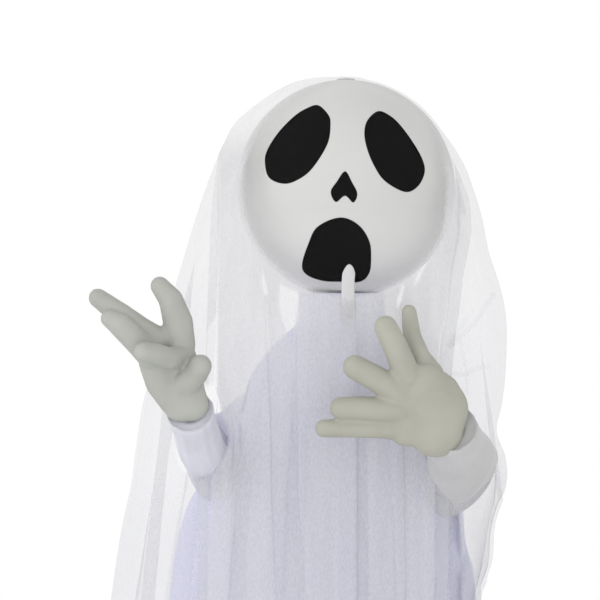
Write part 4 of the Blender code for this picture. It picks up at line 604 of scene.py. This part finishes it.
def veil_cloth(name, colour, through_share, painted_shade_colour=None):
    """Sheer netting: its threads hide a small share of what is behind, more where it is dense."""
    finish = Finish(name, colour, 0.95)
    streaks = finish.noise(60, 2, (1, 1, 0.04))
    thread = finish.noise(420, 3, (1, 1, 0.5), 0.6)
    net = finish.math("MULTIPLY", finish.fit(streaks, 0.3, 0.7, 0.9, 1.12),
                      finish.fit(thread, 0.25, 0.75, 0.85, 1.15))
    stored = finish.node("Attribute")
    stored.attribute_name = "cover"
    cover = finish.math("MULTIPLY", stored.outputs["Fac"], net)
    through = finish.node("BsdfTranslucent", Color=(*colour, 1))
    # Painted shade: below the neck the netting is given a darker colour, fading in by height
    if painted_shade_colour:
        painted_shade_tint = finish.mixed(finish.fit(finish.axes()["Z"], 0.92, 0.99, 0, 1), painted_shade_colour, colour)
        finish.set(Base_Color=painted_shade_tint)
        finish.put(painted_shade_tint, through.inputs["Color"])
    lit = finish.node("MixShader", Fac=through_share)
    finish.put(finish.shader.outputs["BSDF"], lit.inputs[1])
    finish.put(through.outputs["BSDF"], lit.inputs[2])
    clear = finish.node("BsdfTransparent")
    sheer = finish.node("MixShader", Fac=finish.math("MINIMUM", cover, 1.0))
    finish.put(clear.outputs["BSDF"], sheer.inputs[1])
    finish.put(lit.outputs["Shader"], sheer.inputs[2])
    finish.put(sheer.outputs["Shader"], finish.nodes["Material Output"].inputs["Surface"])
    finish.set(Sheen_Weight=0.2, Sheen_Roughness=0.5, Specular_IOR_Level=0.2)
    return finish.material


# Hanging cloth
@dataclass
class Fold:
    """One pleat: its middle as x by height, how wide it is and which side lies on top."""

    path: list
    width: float
    over: int
    depth: float
    start: float
    full: float
    strength: float
    back: bool = False

    def middle(self, z):
        return table([(height, x) for x, height in self.path], z)


def ball_reach(z, gap):
    """How far a ball round the head reaches at a height."""
    rise = z - HEAD_Z
    radius = HEAD_RADIUS + gap
    return math.sqrt(max(0, radius * radius - rise * rise))


def turn_of(share):
    """The angle of a column: BACK_SHARE of the columns go round the back, the rest round the front."""
    if share < BACK_SHARE:
        return math.pi * share / BACK_SHARE
    return math.pi * (1 + (share - BACK_SHARE) / (1 - BACK_SHARE))


def ring(row, columns, folds, squareness, wander):
    """One ring of points: a rounded outline, with pleats laid into it."""
    z, right, left, front, back = row
    middle, half = (left - right) / 2, (left + right) / 2
    power = 2 / squareness
    points = []
    places = []
    for fold in folds:
        grow = ramp(fold.start, fold.full, z)
        if grow <= 0:
            continue
        share = min(0.999, max(-0.999, (fold.middle(z) - middle) / half))
        turn = math.acos(share)
        if not fold.back:
            turn = 2 * math.pi - turn
        places.append((turn, fold, grow))

    def base(turn):
        c, s = math.cos(turn), math.sin(turn)
        depth = back if s > 0 else front
        return Vector((middle + half * math.copysign(abs(c) ** power, c),
                       depth * math.copysign(abs(s) ** power, s), z))

    for column in range(columns):
        turn = turn_of(column / columns)
        here = base(turn)
        along = base(turn + TURN_STEP) - base(turn - TURN_STEP)
        speed = along.length / (2 * TURN_STEP)
        along.normalize()
        out = Vector((along.y, -along.x, 0))
        slide = push = 0.0
        for place, fold, grow in places:
            apart = (turn - place + math.pi) % (2 * math.pi) - math.pi
            step = apart * speed / fold.width
            if abs(step) > FOLD_REACH:
                continue
            slide -= fold.strength * fold.width * grow * step * math.exp(-step * step / 2)
            push += fold.over * fold.depth * grow * step * math.exp(-step * step / 4)
        spot = Vector((here.x * WANDER_ACROSS, here.y * WANDER_ACROSS, z * WANDER_DOWN))
        push += wander * noise.noise(spot)
        points.append(here + along * slide + out * push)
    return points


def hang(name, rows, columns, folds, squareness, top, keep_out, hole):
    """A cloth hung as rings of points, left open where a point of it is in a hole."""
    points = []
    for row in rows:
        wander = CLOTH_WANDER * ramp(rows[0][0], rows[-1][0], row[0])
        points += ring(row, columns, folds, squareness, wander)
    if keep_out:
        points = [keep_out(point) for point in points]
    faces = []
    for i in range(len(rows) - 1):
        for column in range(columns):
            if hole((points[i * columns + column] + points[(i + 1) * columns + column]) / 2):
                continue
            beside = (column + 1) % columns
            faces.append((i * columns + column, (i + 1) * columns + column,
                          (i + 1) * columns + beside, i * columns + beside))
    if top:
        points.append(Vector(top))
        faces += [(len(points) - 1, column, (column + 1) % columns) for column in range(columns)]
    return new_mesh(name, points, faces)


def keep_off_figure(point):
    """Keeps the veil's layers outside the ball head, in their order."""
    reach = ball_reach(point.z, VEIL_HEAD_GAP)
    flat = math.hypot(point.x, point.y)
    if reach < 0.004 or flat < 1e-6:
        return point
    over = (flat - reach) / HEAD_SLACK
    kept = reach + HEAD_SLACK * (over if over > 20 else math.log1p(math.exp(over)))
    return Vector((point.x * kept / flat, point.y * kept / flat, point.z))


def front_folds():
    """The veil's pleats that show from the front."""
    return [Fold([metres(*place) for place in places] + [(foot, VEIL_HEM_Z)], *laid)
            for places, foot, *laid in FRONT_FOLDS]


def back_folds(count, start, full, seed, reach, width):
    """Pleats spread over the back, each a little off its even place."""
    chance = random.Random(seed)
    made = []
    for index in range(count):
        share = (index + 0.5 + chance.uniform(-0.25, 0.25)) / count
        x = reach * -math.cos(math.pi * share)
        drift = chance.uniform(-0.012, 0.012)
        begin = start + chance.uniform(-0.03, 0.05)
        made.append(Fold([(x * 0.72, 1.05), (x * 0.8, 0.9), (x + drift, 0.6), (x * 1.15 + drift, 0.05)],
                         width * chance.uniform(0.8, 1.25), chance.choice((-1, 1)), 0.004,
                         begin, full, chance.uniform(1.2, 2.2), True))
    return made


def inside(polygon, x, y):
    """Whether a point lies inside a closed outline."""
    odd = False
    for (xa, ya), (xb, yb) in zip(polygon, polygon[1:] + polygon[:1]):
        if (ya > y) != (yb > y) and x < (xb - xa) * (y - ya) / (yb - ya) + xa:
            odd = not odd
    return odd


def veil_cover(point):
    """How much of what is behind the netting hides, from nearly clear over the face to doubled."""
    if point.y > 0:
        return VEIL_COVER * BACK_THINNER
    x, z = point.x, point.z
    scale = (VIEW_DISTANCE + point.y) / VIEW_DISTANCE
    across = IMAGE_MIDDLE + (x - CAMERA_X) / scale * IMAGE_SIZE / VIEW_WIDTH
    rise = (z - CAMERA_Z) / scale + CAMERA_Z - VIEW_MIDDLE_Z
    down = IMAGE_MIDDLE - rise * IMAGE_SIZE / VIEW_WIDTH

    # The doubled front panel and the gathered lower corners
    past_left = across - table(PANEL_LEFT, down)
    past_right = across - table(PANEL_RIGHT, down)
    doubled = ramp(-PANEL_EDGE, PANEL_EDGE, past_left) * (1 - ramp(-PANEL_EDGE, PANEL_EDGE, past_right))
    denser = PANEL_DENSER + PANEL_TOP_DENSER * (1 - ramp(*PANEL_TOP_ENDS, down))
    cover = 1 + denser * doubled * ramp(*PANEL_STARTS, down)
    corner = ramp(*CORNER_STARTS, down)
    cover += RIGHT_CORNER_DENSER * corner * ramp(*RIGHT_CORNER, across)
    cover += LEFT_CORNER_DENSER * corner * (1 - ramp(*LEFT_CORNER, across))

    for outline, kept in GAPS:
        start = outline[0]
        if abs(across - start[0]) >= GAP_WINDOW[0] or abs(down - start[1]) >= GAP_WINDOW[1]:
            continue
        edges = zip(outline, outline[1:] + outline[:1])
        apart = min(line_distance(a, b, across, down) for a, b in edges)
        share = ramp(-GAP_EDGE, GAP_EDGE, apart if inside(outline, across, down) else -apart)
        cover = cover * (1 - share) + kept * share

    face = 1 - ramp(*FACE_ENDS, math.hypot(x / FACE_REACH[0], (z - HEAD_Z) / FACE_REACH[1]))
    face *= ramp(-FACE_LEFT_FADE, FACE_LEFT_FADE, across - table(FACE_LEFT, down))
    face *= ramp(-FACE_RIGHT_FADE, FACE_RIGHT_FADE, table(FACE_RIGHT, down) - across)
    cover = cover * (1 - face) + FACE_COVER * face

    beside, above, below = CREASE_WINDOW
    for line, gain, width in CREASES:
        if abs(across - line[0][0]) >= beside or not -above < down - line[0][1] < below:
            continue
        near = min(line_distance(a, b, across, down) for a, b in zip(line, line[1:]))
        if near < CREASE_REACH * width:
            cover += gain * math.exp(-near * near / width / width)
    return VEIL_COVER * max(LEAST_COVER, cover) * ramp(*HOLE_EDGE, forearm_gap(point))


def line_distance(a, b, x, y):
    """How far a point is from the line between two others."""
    along = (b[0] - a[0], b[1] - a[1])
    share = ((x - a[0]) * along[0] + (y - a[1]) * along[1]) / (along[0] ** 2 + along[1] ** 2)
    share = min(1, max(0, share))
    return math.hypot(x - a[0] - share * along[0], y - a[1] - share * along[1])


def lifted_arm(side, lift):
    """Where the elbow and the wrist are when the arm is lifted by an angle."""
    shoulder = SHOULDERS[side]
    turn = Matrix.Rotation(math.radians(-lift), 3, "X")
    return shoulder + turn @ (ELBOWS[side] - shoulder), shoulder + turn @ (WRISTS[side] - shoulder)


def forearm_gap(point):
    """How far a veil point is from the opening that a forearm passes through, at any lift of the arm."""
    nearer = 1 - point.y / VIEW_DISTANCE
    across = IMAGE_MIDDLE + (point.x - CAMERA_X) * nearer * IMAGE_SIZE / VIEW_WIDTH
    gap = 1
    for side, inner in HOLE_INNER_SIDES.items():
        beyond = max(0, across - inner if side == "right" else inner - across)
        for lift in HOLE_LIFTS if beyond < HOLE_INNER_REACH else (0,):
            elbow, wrist = lifted_arm(side, lift)
            along = wrist - elbow
            share = (point - elbow).dot(along) / along.length_squared
            share = min(HOLE_END, max(HOLE_START, share))
            away = HOLE_TAPER * beyond if lift else 0
            gap = min(gap, (point - elbow - along * share).length - HOLE_RADIUS + away)
    return gap


def store_cover(obj, cover_of):
    """Keeps at each point how much of what is behind the netting hides."""
    layer = obj.data.attributes.new("cover", "FLOAT", "POINT")
    for vertex in obj.data.vertices:
        layer.data[vertex.index].value = cover_of(vertex.co)


def build_veil():
    rows = smooth_rows(VEIL_ROWS, VEIL_ROW_STEP, VEIL_FINE_ABOVE, VEIL_FINE_STEP)
    folds = front_folds() + back_folds(7, 1.0, 0.8, 7, 0.2, 0.011)
    veil = hang("veil", rows, VEIL_COLUMNS, folds, VEIL_SQUARENESS, VEIL_TOP, keep_off_figure,
                lambda point: forearm_gap(point) < 0)
    store_cover(veil, veil_cover)
    veil.data.materials.append(veil_cloth("veil_cloth", VEIL_COLOUR, VEIL_THROUGH, VEIL_PAINTED_SHADE_COLOUR))
    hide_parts("outer_veil")
    return veil


def build_button():
    """The cloth-covered button that holds the veil at the crown."""
    rows, columns = BUTTON_ROWS, BUTTON_COLUMNS
    points = [Vector((0, 0, BUTTON_TOP))]
    for i in range(1, rows + 1):
        t = i / rows
        r = BUTTON_RADIUS * math.sin(t * math.pi / 2)
        z = BUTTON_TOP - BUTTON_RISE * (1 - math.cos(t * math.pi / 2))
        for c in range(columns):
            a = 2 * math.pi * c / columns
            pucker = 1 + BUTTON_PUCKER_SHARE * math.sin(BUTTON_PUCKERS * a) * t
            points.append(Vector((r * pucker * math.cos(a), r * pucker * math.sin(a), z)))
    points.append(Vector((0, 0, BUTTON_TOP - BUTTON_RISE)))
    faces = [(0, 1 + c, 1 + (c + 1) % columns) for c in range(columns)]
    for i in range(rows - 1):
        for c in range(columns):
            a, b = 1 + i * columns + c, 1 + i * columns + (c + 1) % columns
            faces.append((a, a + columns, b + columns, b))
    last = 1 + (rows - 1) * columns
    faces += [(len(points) - 1, last + (c + 1) % columns, last + c) for c in range(columns)]
    button = new_mesh("crown_button", points, faces)
    button.data.materials.append(bpy.data.materials["matt_head"])
    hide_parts("crown_rivet")
    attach(button, "head")


def build_tuck():
    """A pinched tuck of the veil, rounded at its top, over the mouth's lower edge."""
    points = []
    veil_front = [(row[0], row[3]) for row in VEIL_ROWS]
    for i in range(TUCK_ROWS + 1):
        t = i / TUCK_ROWS
        z = TUCK_TOP - TUCK_LENGTH * t
        across = TUCK_ACROSS - TUCK_DRIFT * ramp(0, 0.3, t)
        x = CAMERA_X + (metres(across, 0)[0] - CAMERA_X) * TUCK_NEARNESS
        half = TUCK_HALF * math.sqrt(min(1, t / TUCK_ROUNDED)) * (1 + TUCK_WIDENING * ramp(0.2, 1, t))
        y = -table(veil_front, z) - TUCK_OFF_VEIL
        bulge = TUCK_BULGE * min(1, half / TUCK_FLAT_BELOW)
        for c in range(TUCK_COLUMNS):
            a = 2 * math.pi * c / TUCK_COLUMNS
            points.append(Vector((x + half * math.cos(a), y - bulge * math.sin(a), z)))
    tuck = new_mesh("veil_tuck", points, tube_faces(TUCK_ROWS + 1, TUCK_COLUMNS))
    store_cover(tuck, lambda point: 0.06 + 1.2 * ramp(0.93, 0.99, point.z))
    tuck.data.materials.append(veil_cloth("doubled_veil_cloth", TUCK_COLOUR, TUCK_THROUGH))
    return tuck


def robe_folds():
    """The robe's pleats: those in front by where the view shows them, and which side lies on top."""
    chance = random.Random(3)
    made = []
    for across, over in ROBE_FOLDS:
        place = metres(across, 450)[0]
        made.append(Fold([(place * 0.8, 0.93), (place * 0.9, 0.84), (place, 0.75), (place * 1.08, 0.6),
                          (place * 1.35, 0.05)], 0.009 * chance.uniform(0.8, 1.2), over, 0.004,
                         0.93, 0.8, chance.uniform(2.0, 3.0)))
    return made + back_folds(11, 0.9, 0.75, 11, 0.15, 0.01)


def in_sleeve(point):
    """Whether a point of the robe is in the armhole: near the arm at some lift, hidden at every lift."""
    for side, shoulder in SHOULDERS.items():
        if (point - shoulder).length > ARMHOLE_REACH:
            continue
        if not all(covered(point, side, lift) for lift in ARMHOLE_COVER_LIFTS):
            continue
        for lift in ARMHOLE_LIFTS:
            elbow, wrist = lifted_arm(side, lift)
            for start, end, least, most in ((shoulder, elbow, *ARMHOLE_UPPER_ARM),
                                            (elbow, wrist, *ARMHOLE_FOREARM)):
                along = end - start
                share = (point - start).dot(along) / along.length_squared
                if share < least:
                    continue
                share = min(most, share)
                if (point - start - along * share).length < ARMHOLE_RADIUS:
                    return True
    return False


def sleeve_line(side):
    """The sleeve's start, the point that its curve is drawn towards, and the middle of its cuff."""
    start = SHOULDERS[side].lerp(ELBOWS[side], SLEEVE_START)
    cuff = WRISTS[side] + CUFF_SHIFTS[side]
    return start, ELBOWS[side] * 2 - (start + cuff) / 2, cuff


@functools.cache
def sleeve_balls(side):
    """Balls that fill the sleeve from the shoulder to past the elbow, as middle and radius."""
    start, bend, cuff = sleeve_line(side)
    balls = []
    for step in SLEEVE_BALL_STEPS:
        t = step / SLEEVE_BALL_COUNT
        middle = start * (1 - t) ** 2 + bend * 2 * t * (1 - t) + cuff * t * t
        balls.append((middle, table(SLEEVE_WIDTHS[side], t)))
    return balls


def covered(point, side, lift):
    """Whether the sleeve covers a point of the robe when the arm is lifted by an angle."""
    shoulder = SHOULDERS[side]
    back = Matrix.Rotation(math.radians(lift), 3, "X")
    place = shoulder + back @ (point - shoulder)
    return any((place - middle).length < radius - ARMHOLE_COVER for middle, radius in sleeve_balls(side))


def thicken(obj):
    skin = obj.modifiers.new("cloth", "SOLIDIFY")
    skin.thickness = CLOTH_THICKNESS
    skin.offset = 1


def build_robe():
    rows = smooth_rows(ROBE_ROWS, ROBE_ROW_STEP)
    robe = hang("robe", rows, ROBE_COLUMNS, robe_folds(), ROBE_SQUARENESS, None, None, in_sleeve)
    robe.data.materials.append(robe_cloth("robe_cloth", ROBE_COLOUR))
    thicken(robe)
    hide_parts("inner_robe")
    return applied(robe)


def build_sleeve(side):
    """A full sleeve that sags under the arm and is gathered to the wrist."""
    start, bend, cuff = sleeve_line(side)
    columns = SLEEVE_COLUMNS
    chance = random.Random(17 if side == "right" else 23)
    phases = [chance.uniform(0, 6.28) for _ in range(6)]
    points = []
    previous = Vector((0, 0, 1))
    for i in range(SLEEVE_STEPS + 1):
        t = i / SLEEVE_STEPS
        here = start * (1 - t) ** 2 + bend * 2 * t * (1 - t) + cuff * t * t
        ahead = ((bend - start) * (1 - t) + (cuff - bend) * t).normalized()
        side_way = ahead.cross(previous).normalized()
        up_way = side_way.cross(ahead).normalized()
        previous = up_way
        radius = table(SLEEVE_WIDTHS[side], t)
        gather = ramp(0.7, 1, t)
        fold_depth = SLEEVE_FOLD * math.sin(math.pi * min(1, t * 1.4)) + SLEEVE_LEAST_FOLD
        for c in range(columns):
            a = 2 * math.pi * c / columns
            wave = (math.sin(3 * a + phases[0] + 5 * t) * 0.5 + math.sin(5 * a + phases[1] - 7 * t) * 0.35
                    + math.sin(9 * a + phases[2] + 3 * t) * 0.3 * (0.4 + gather)
                    + math.sin(14 * a + phases[3]) * 0.5 * gather)
            rings = math.sin(SLEEVE_RINGS * t + 2 * math.sin(a + phases[4]))
            rings *= SLEEVE_RING_DEPTH * math.sin(math.pi * t)
            r = radius + fold_depth * wave * (1 - 0.55 * gather) + rings
            point = here + side_way * (r * math.cos(a)) + up_way * (r * math.sin(a))
            low = max(0, -math.sin(a)) * math.sin(math.pi * min(1, t * 1.1))
            high = max(0, math.sin(a)) * math.sin(math.pi * t)
            point.z += SLEEVE_BRIDGE[side] * high - SLEEVE_SAG[side] * low
            points.append(point)
    rim = points[-columns:]
    middle = sum(rim, Vector()) / columns
    for share, back in CUFF_LINING:
        points += [middle + (point - middle) * share - ahead * back for point in rim]
    rings = SLEEVE_STEPS + 1 + len(CUFF_LINING)
    sleeve = new_mesh(f"{side}_sleeve_cloth", points, tube_faces(rings, columns))
    sleeve.data.materials.append(robe_cloth(f"{side}_sleeve_cloth", SLEEVE_COLOURS[side], SHOULDER_COLOUR))
    thicken(sleeve)
    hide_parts(f"{side}_sleeve")
    return applied(sleeve)


# Hands
def axis_turn(axis):
    return Vector((0, 0, 1)).rotation_difference(axis).to_matrix().to_4x4()


def build_hand(side, fingers, palm):
    """One moulded skin over balls and cones along the fingers and palm, then smoothed."""
    solid = bmesh.new()

    def sized(shares):
        x, z, y, radius = (HAND_LENGTH * share for share in shares)
        return Vector((x, y, z)), radius

    def ball_at(share, flat):
        place, radius = sized(share)
        matrix = Matrix.Translation(place) @ Matrix.Diagonal((1, flat, 1, 1))
        bmesh.ops.create_uvsphere(solid, u_segments=HAND_COLUMNS, v_segments=HAND_BALL_ROWS,
                                  radius=radius, matrix=matrix)

    def cone_between(a, b, flat):
        start, start_radius = sized(a)
        end, end_radius = sized(b)
        matrix = Matrix.Translation((start + end) / 2) @ axis_turn(end - start)
        bmesh.ops.create_cone(solid, cap_ends=True, segments=HAND_COLUMNS, radius1=start_radius,
                              radius2=end_radius, depth=(end - start).length,
                              matrix=Matrix.Diagonal((1, flat, 1, 1)) @ matrix)

    for chain in fingers.values():
        root = min(palm, key=lambda share: math.dist(share[:3], chain[0][:3]))
        cone_between(root, chain[0], HAND_FLAT_SHARE)
        for share in chain:
            ball_at(share, 1)
        for a, b in zip(chain, chain[1:]):
            cone_between(a, b, 1)
    for share in palm:
        ball_at(share, HAND_FLAT_SHARE)
    for a, b in zip(palm, palm[1:]):
        cone_between(a, b, HAND_FLAT_SHARE)
    hand = from_bmesh(f"{side}_hand_skin", solid)
    hand.location = WRISTS[side]
    remesh = hand.modifiers.new("one skin", "REMESH")
    remesh.mode = "VOXEL"
    remesh.voxel_size = HAND_VOXEL
    smooth = hand.modifiers.new("smooth skin", "SMOOTH")
    smooth.factor = HAND_SMOOTHING
    smooth.iterations = HAND_SMOOTHINGS
    hand = applied(hand)
    hand.data.shade_smooth()
    hand.data.materials.append(hand_vinyl(f"{side}_hand_vinyl", HAND_COLOURS[side]))
    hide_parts(f"{side}_hand")
    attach(hand, f"{side}_hand")


# Head
def smooth_loop(points, steps):
    count = len(points)
    curve = []
    for i in range(count):
        corners = [Vector(points[(i + k) % count]) for k in (-1, 0, 1, 2)]
        curve += [between(*corners, step / steps) for step in range(steps)]
    return curve


def ball(name, radius):
    solid = bmesh.new()
    bmesh.ops.create_uvsphere(solid, u_segments=HEAD_STEPS, v_segments=HEAD_STEPS // 2, radius=radius,
                              matrix=Matrix.Translation((0, 0, HEAD_Z)))
    return from_bmesh(name, solid)


def prism(name, shares, margin):
    """A prism along -Y through one face outline, drawn in by the margin."""
    points = [HEAD_RADIUS * point for point in smooth_loop(shares, FACE_STEPS)]
    count = len(points)
    middle = sum(points, Vector((0, 0))) / count
    drawn = []
    for i, point in enumerate(points):
        along = points[(i + 1) % count] - points[i - 1]
        inward = Vector((-along.y, along.x)).normalized()
        if inward.dot(middle - point) < 0:
            inward.negate()
        drawn.append(point + inward * margin)
    solid = bmesh.new()
    near = [solid.verts.new((p.x, -HEAD_RADIUS * PRISM_NEAR, HEAD_Z + p.y)) for p in drawn]
    far = [solid.verts.new((p.x, -HEAD_RADIUS * PRISM_FAR, HEAD_Z + p.y)) for p in drawn]
    solid.faces.new(near)
    solid.faces.new(list(reversed(far)))
    for i in range(count):
        j = (i + 1) % count
        solid.faces.new((near[i], far[i], far[j], near[j]))
    bmesh.ops.recalc_face_normals(solid, faces=solid.faces)
    return from_bmesh(name, solid)


def cut(obj, other, operation="DIFFERENCE"):
    """The object less another one, or what the two share. The other one goes."""
    boolean = obj.modifiers.new(other.name, "BOOLEAN")
    boolean.operation = operation
    boolean.solver = "EXACT"
    boolean.object = other
    obj = applied(obj)
    bpy.data.objects.remove(other)
    return obj


def finish_piece(obj, material):
    """Smooth but for its edges, in one material."""
    obj.data.shade_smooth()
    obj.data.set_sharp_from_angle(angle=SHARP_ANGLE)
    obj.data.materials.clear()
    obj.data.materials.append(material)


def build_head():
    skin = cut(ball("head_ball", HEAD_RADIUS), ball("head_inside", HEAD_RADIUS - HEAD_WALL))
    black = black_felt()
    for name, shares in (("right_eye", RIGHT_EYE_SHARES), ("left_eye", LEFT_EYE_SHARES),
                         ("nose", NOSE_SHARES), ("mouth", MOUTH_SHARES)):
        skin = cut(skin, prism(name + "_cut", shares, 0))
        panel = ball(name + "_felt", HEAD_RADIUS - FACE_RECESS)
        panel = cut(panel, ball(name + "_inside", HEAD_RADIUS - HEAD_WALL))
        panel = cut(panel, prism(name + "_shape", shares, FACE_GAP), "INTERSECT")
        finish_piece(panel, black)
        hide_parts(name + "_panel")
        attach(panel, "head")
    finish_piece(skin, matt_head())
    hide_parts("head_front_shell", "head_rear_shell")
    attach(skin, "head")


SLOT_FINISHES = {
    "base_steel": painted("powder_coat", (0.02, 0.02, 0.022), 0.55, 0.2),
    "tube_steel": painted("white_tube", (0.72, 0.72, 0.71), 0.38, 0.1, 300, 0.08),
    "zinc_steel": metal("zinc_plate", (0.55, 0.56, 0.58), 0.34),
    "black_plastic": moulded("black_moulding", (0.03, 0.03, 0.032), 0.5),
    "white_plastic": moulded("white_moulding", (0.7, 0.7, 0.69), 0.42),
    "gear_plastic": moulded("natural_nylon", (0.66, 0.64, 0.56), 0.48, 500, 0.08),
    "board": moulded("green_board", (0.02, 0.14, 0.05), 0.32, 260, 0.2, 0.4),
    "cell": metal("cell_sleeve", (0.25, 0.26, 0.28), 0.32, (6, 1, 1)),
}


def finish_nodes():
    """Every frame node that stays takes the procedural finish of its slot."""
    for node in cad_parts.values():
        slot = node.data.materials[0].name.split(".")[0]
        if slot in SLOT_FINISHES:
            node.data.materials.clear()
            node.data.materials.append(SLOT_FINISHES[slot])


def build_studio():
    camera = bpy.data.cameras.new("camera")
    camera.sensor_width = SENSOR
    camera.lens = SENSOR * VIEW_DISTANCE / VIEW_WIDTH
    camera.shift_y = (VIEW_MIDDLE_Z - CAMERA_Z) / VIEW_WIDTH
    camera.clip_end = CLIP_END
    obj = new_object("camera", camera)
    obj.location = (CAMERA_X, -VIEW_DISTANCE, CAMERA_Z)
    obj.rotation_euler = (math.radians(90), 0, 0)
    bpy.context.scene.camera = obj

    for name, energy, size, place, target in LIGHTS:
        lamp = bpy.data.lights.new(name, "AREA")
        lamp.energy = energy
        lamp.shape = "DISK"
        lamp.size = size
        obj = new_object(name, lamp)
        obj.location = place
        obj.rotation_euler = (Vector(target) - Vector(place)).to_track_quat("-Z", "Y").to_euler()

    world = bpy.data.worlds.new("studio")
    bpy.context.scene.world = world
    world.use_nodes = True
    nodes, links = world.node_tree.nodes, world.node_tree.links
    background = nodes["Background"]
    rays = nodes.new("ShaderNodeLightPath").outputs

    def either(first, second):
        node = nodes.new("ShaderNodeMath")
        node.operation = "MAXIMUM"
        links.new(first, node.inputs[0])
        links.new(second, node.inputs[1])
        return node.outputs[0]

    # The backdrop is white in the view and in what glossy and clear pieces show
    bounced = either(rays["Is Glossy Ray"], rays["Is Transmission Ray"])
    level = nodes.new("ShaderNodeMapRange")
    level.inputs["To Min"].default_value = WORLD_LEVEL
    level.inputs["To Max"].default_value = BACKDROP_LEVEL
    links.new(either(rays["Is Camera Ray"], bounced), level.inputs["Value"])
    background.inputs["Color"].default_value = (1, 1, 1, 1)
    links.new(level.outputs["Result"], background.inputs["Strength"])

    solid = bmesh.new()
    bmesh.ops.create_circle(solid, cap_ends=True, radius=FLOOR_RADIUS, segments=FLOOR_STEPS)
    floor = from_bmesh("floor", solid)
    floor.location = (0, 0, -FLOOR_DROP)
    paint = Finish("floor_paint", FLOOR_COLOURS[0], 0.9)
    paint.set(Base_Color=paint.mixed(paint.fit(paint.noise(6), 0.3, 0.7, 0, 1), *FLOOR_COLOURS))
    floor.data.materials.append(paint.material)
    bpy.context.scene.view_settings.view_transform = "Standard"


finish_nodes()
build_head()
build_hand("right", RIGHT_HAND_SHARES, RIGHT_PALM_SHARES)
build_hand("left", LEFT_HAND_SHARES, LEFT_PALM_SHARES)
robe = build_robe()
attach(robe, "stand")
for side in ("right", "left"):
    sleeve = build_sleeve(side)
    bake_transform(sleeve)
veil = build_veil()
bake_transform(veil)
build_button()
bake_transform(build_tuck())
build_studio()
